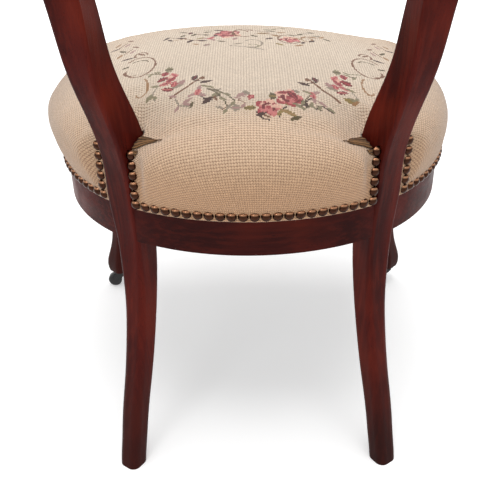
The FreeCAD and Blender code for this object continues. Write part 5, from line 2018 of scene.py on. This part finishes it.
class Studio:
    """Camera, lamps, floor and backdrop."""

    def __init__(self, sizes: StudioSizes) -> None:
        """Keep the sizes.

        Args:
            sizes: Camera, lamps and floor.
        """
        self.sizes = sizes

    def camera(self) -> None:
        """Place the camera behind the chair, looking down at the seat."""
        sizes = self.sizes
        data = bpy.data.cameras.new("camera")
        data.lens = sizes.lens
        camera = bpy.data.objects.new("camera", data)
        bpy.context.scene.collection.objects.link(camera)
        pitch, yaw, roll = (math.radians(angle) for angle in (sizes.pitch, sizes.yaw, sizes.roll))
        forward = Vector((math.sin(yaw) * math.cos(pitch), -math.cos(yaw) * math.cos(pitch),
                          -math.sin(pitch)))
        right = forward.cross(Vector((0, 0, 1))).normalized()
        upward = right.cross(forward)
        across = math.cos(roll) * right + math.sin(roll) * upward
        above = -math.sin(roll) * right + math.cos(roll) * upward
        turn = Matrix((across, above, -forward)).transposed().to_4x4()
        camera.matrix_world = Matrix.Translation(sizes.eye) @ turn
        bpy.context.scene.camera = camera

    def lights(self) -> None:
        """Hang the lamps."""
        for lamp in self.sizes.lamps:
            data = bpy.data.lights.new(lamp.name, "AREA")
            data.size = lamp.size
            data.energy = lamp.watts
            hung = bpy.data.objects.new(lamp.name, data)
            hung.location = lamp.place
            way = Vector(lamp.target) - Vector(lamp.place)
            hung.rotation_euler = way.to_track_quat("-Z", "Y").to_euler()
            bpy.context.scene.collection.objects.link(hung)

    def sky(self) -> None:
        """Make the sky plain white to the camera and dimmer as a light."""
        world = bpy.data.worlds.new("studio")
        bpy.context.scene.world = world
        world.use_nodes = True
        background = world.node_tree.nodes["Background"]
        background.inputs["Color"].default_value = (*self.sizes.white, 1.0)
        tree = Tree(world.node_tree)
        rays = tree.node("ShaderNodeLightPath").outputs
        mirrored = tree.math("MAXIMUM", rays["Is Glossy Ray"], rays["Is Transmission Ray"])
        seen = tree.math("MAXIMUM", rays["Is Camera Ray"], mirrored)
        dim = self.sizes.sky
        tree.feed(background.inputs["Strength"], tree.math("MULTIPLY_ADD", seen, 1.0 - dim, dim))

    def floor(self) -> None:
        """Lay a pale floor that fades into the sky."""
        sizes = self.sizes
        bpy.ops.mesh.primitive_plane_add(size=sizes.floor)
        floor = bpy.context.object
        floor.name = "floor"
        paint = Finish("floor")
        distance = paint.node("ShaderNodeVectorMath", operation="LENGTH")
        paint.feed(distance.inputs[0], paint.node("ShaderNodeTexCoord").outputs["Object"])
        fade = paint.span(distance.outputs["Value"], *sizes.floor_fade, 0.0, 1.0 - sizes.floor_glow)
        camera = paint.node("ShaderNodeLightPath").outputs["Is Camera Ray"]
        glow = paint.math("MULTIPLY_ADD", camera, fade, sizes.floor_glow)
        paint.set(Base_Color=sizes.floor_colour, Roughness=sizes.floor_roughness,
                  Emission_Color=sizes.white, Emission_Strength=glow)
        floor.data.materials.append(paint.material)

    def build(self) -> None:
        """Make the whole stage."""
        self.camera()
        self.lights()
        self.sky()
        self.floor()
        bpy.context.scene.view_settings.view_transform = "Standard"
        LOG.info("stage: camera, %d lamps, sky and floor", len(self.sizes.lamps))


# ---------------------------------------------------------------- chair


class Chair:
    """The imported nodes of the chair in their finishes."""

    GRAINS = {
        "rear_leg_left": Grain.UPRIGHT, "rear_leg_right": Grain.UPRIGHT,
        "front_leg_left": Grain.UPRIGHT, "front_leg_right": Grain.UPRIGHT,
        "side_seat_rail_left": Grain.ALONG, "side_seat_rail_right": Grain.ALONG,
    }
    # The back rail is painted darker than the other wood, as painted shade.
    BACK_RAIL_PAINTED_SHADE = 0.66

    def __init__(self, woods: Woods, patina: Patina) -> None:
        """Prepare the finishes.

        Args:
            woods: The finishes of the wood.
            patina: The wear on all others.
        """
        self.mahogany = {grain: woods.mahogany(f"mahogany_{grain.name.lower()}", grain)
                         for grain in Grain}
        self.shaded_back_rail = woods.mahogany("mahogany_back_rail", Grain.ACROSS, self.BACK_RAIL_PAINTED_SHADE)
        self.slots = {name: plain_material(name, look, patina) for name, look in PLAIN_FINISHES.items()}
        self.slots["beech"] = woods.beech("beech", Grain.ACROSS)

    def finish(self, node: str, slot: str) -> bpy.types.Material:
        """Choose the finish of a node.

        Args:
            node: Its name.
            slot: Its material slot.

        Returns:
            The material.
        """
        if node == "back_seat_rail":
            return self.shaded_back_rail
        if slot == "mahogany":
            return self.mahogany[self.GRAINS.get(node, Grain.ACROSS)]
        return self.slots.get(slot, self.slots["hessian"])

    def dress(self) -> None:
        """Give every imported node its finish."""
        for part in frame["record"]["subparts"]:
            node, slot = part["node"], part["material_slot"]
            thing = frame["nodes"][node]
            material = self.finish(node, slot)
            thing.data.materials.clear()
            thing.data.materials.append(material)
            LOG.info("%s: %s", node, material.name)


def main() -> None:
    """Build and dress the chair in order, and report each piece."""
    logging.basicConfig(level=logging.INFO, format="%(name)s: %(message)s")
    Chair(Woods(Polish(), BareWood()), Patina()).dress()
    seat = Seat(SeatSizes())
    cloth = seat.build(Yarns())
    Folds(FoldSizes(), TuckedWool()).build(cloth, seat.stiles)
    Studio(StudioSizes()).build()


if __name__ == "__main__":
    main()
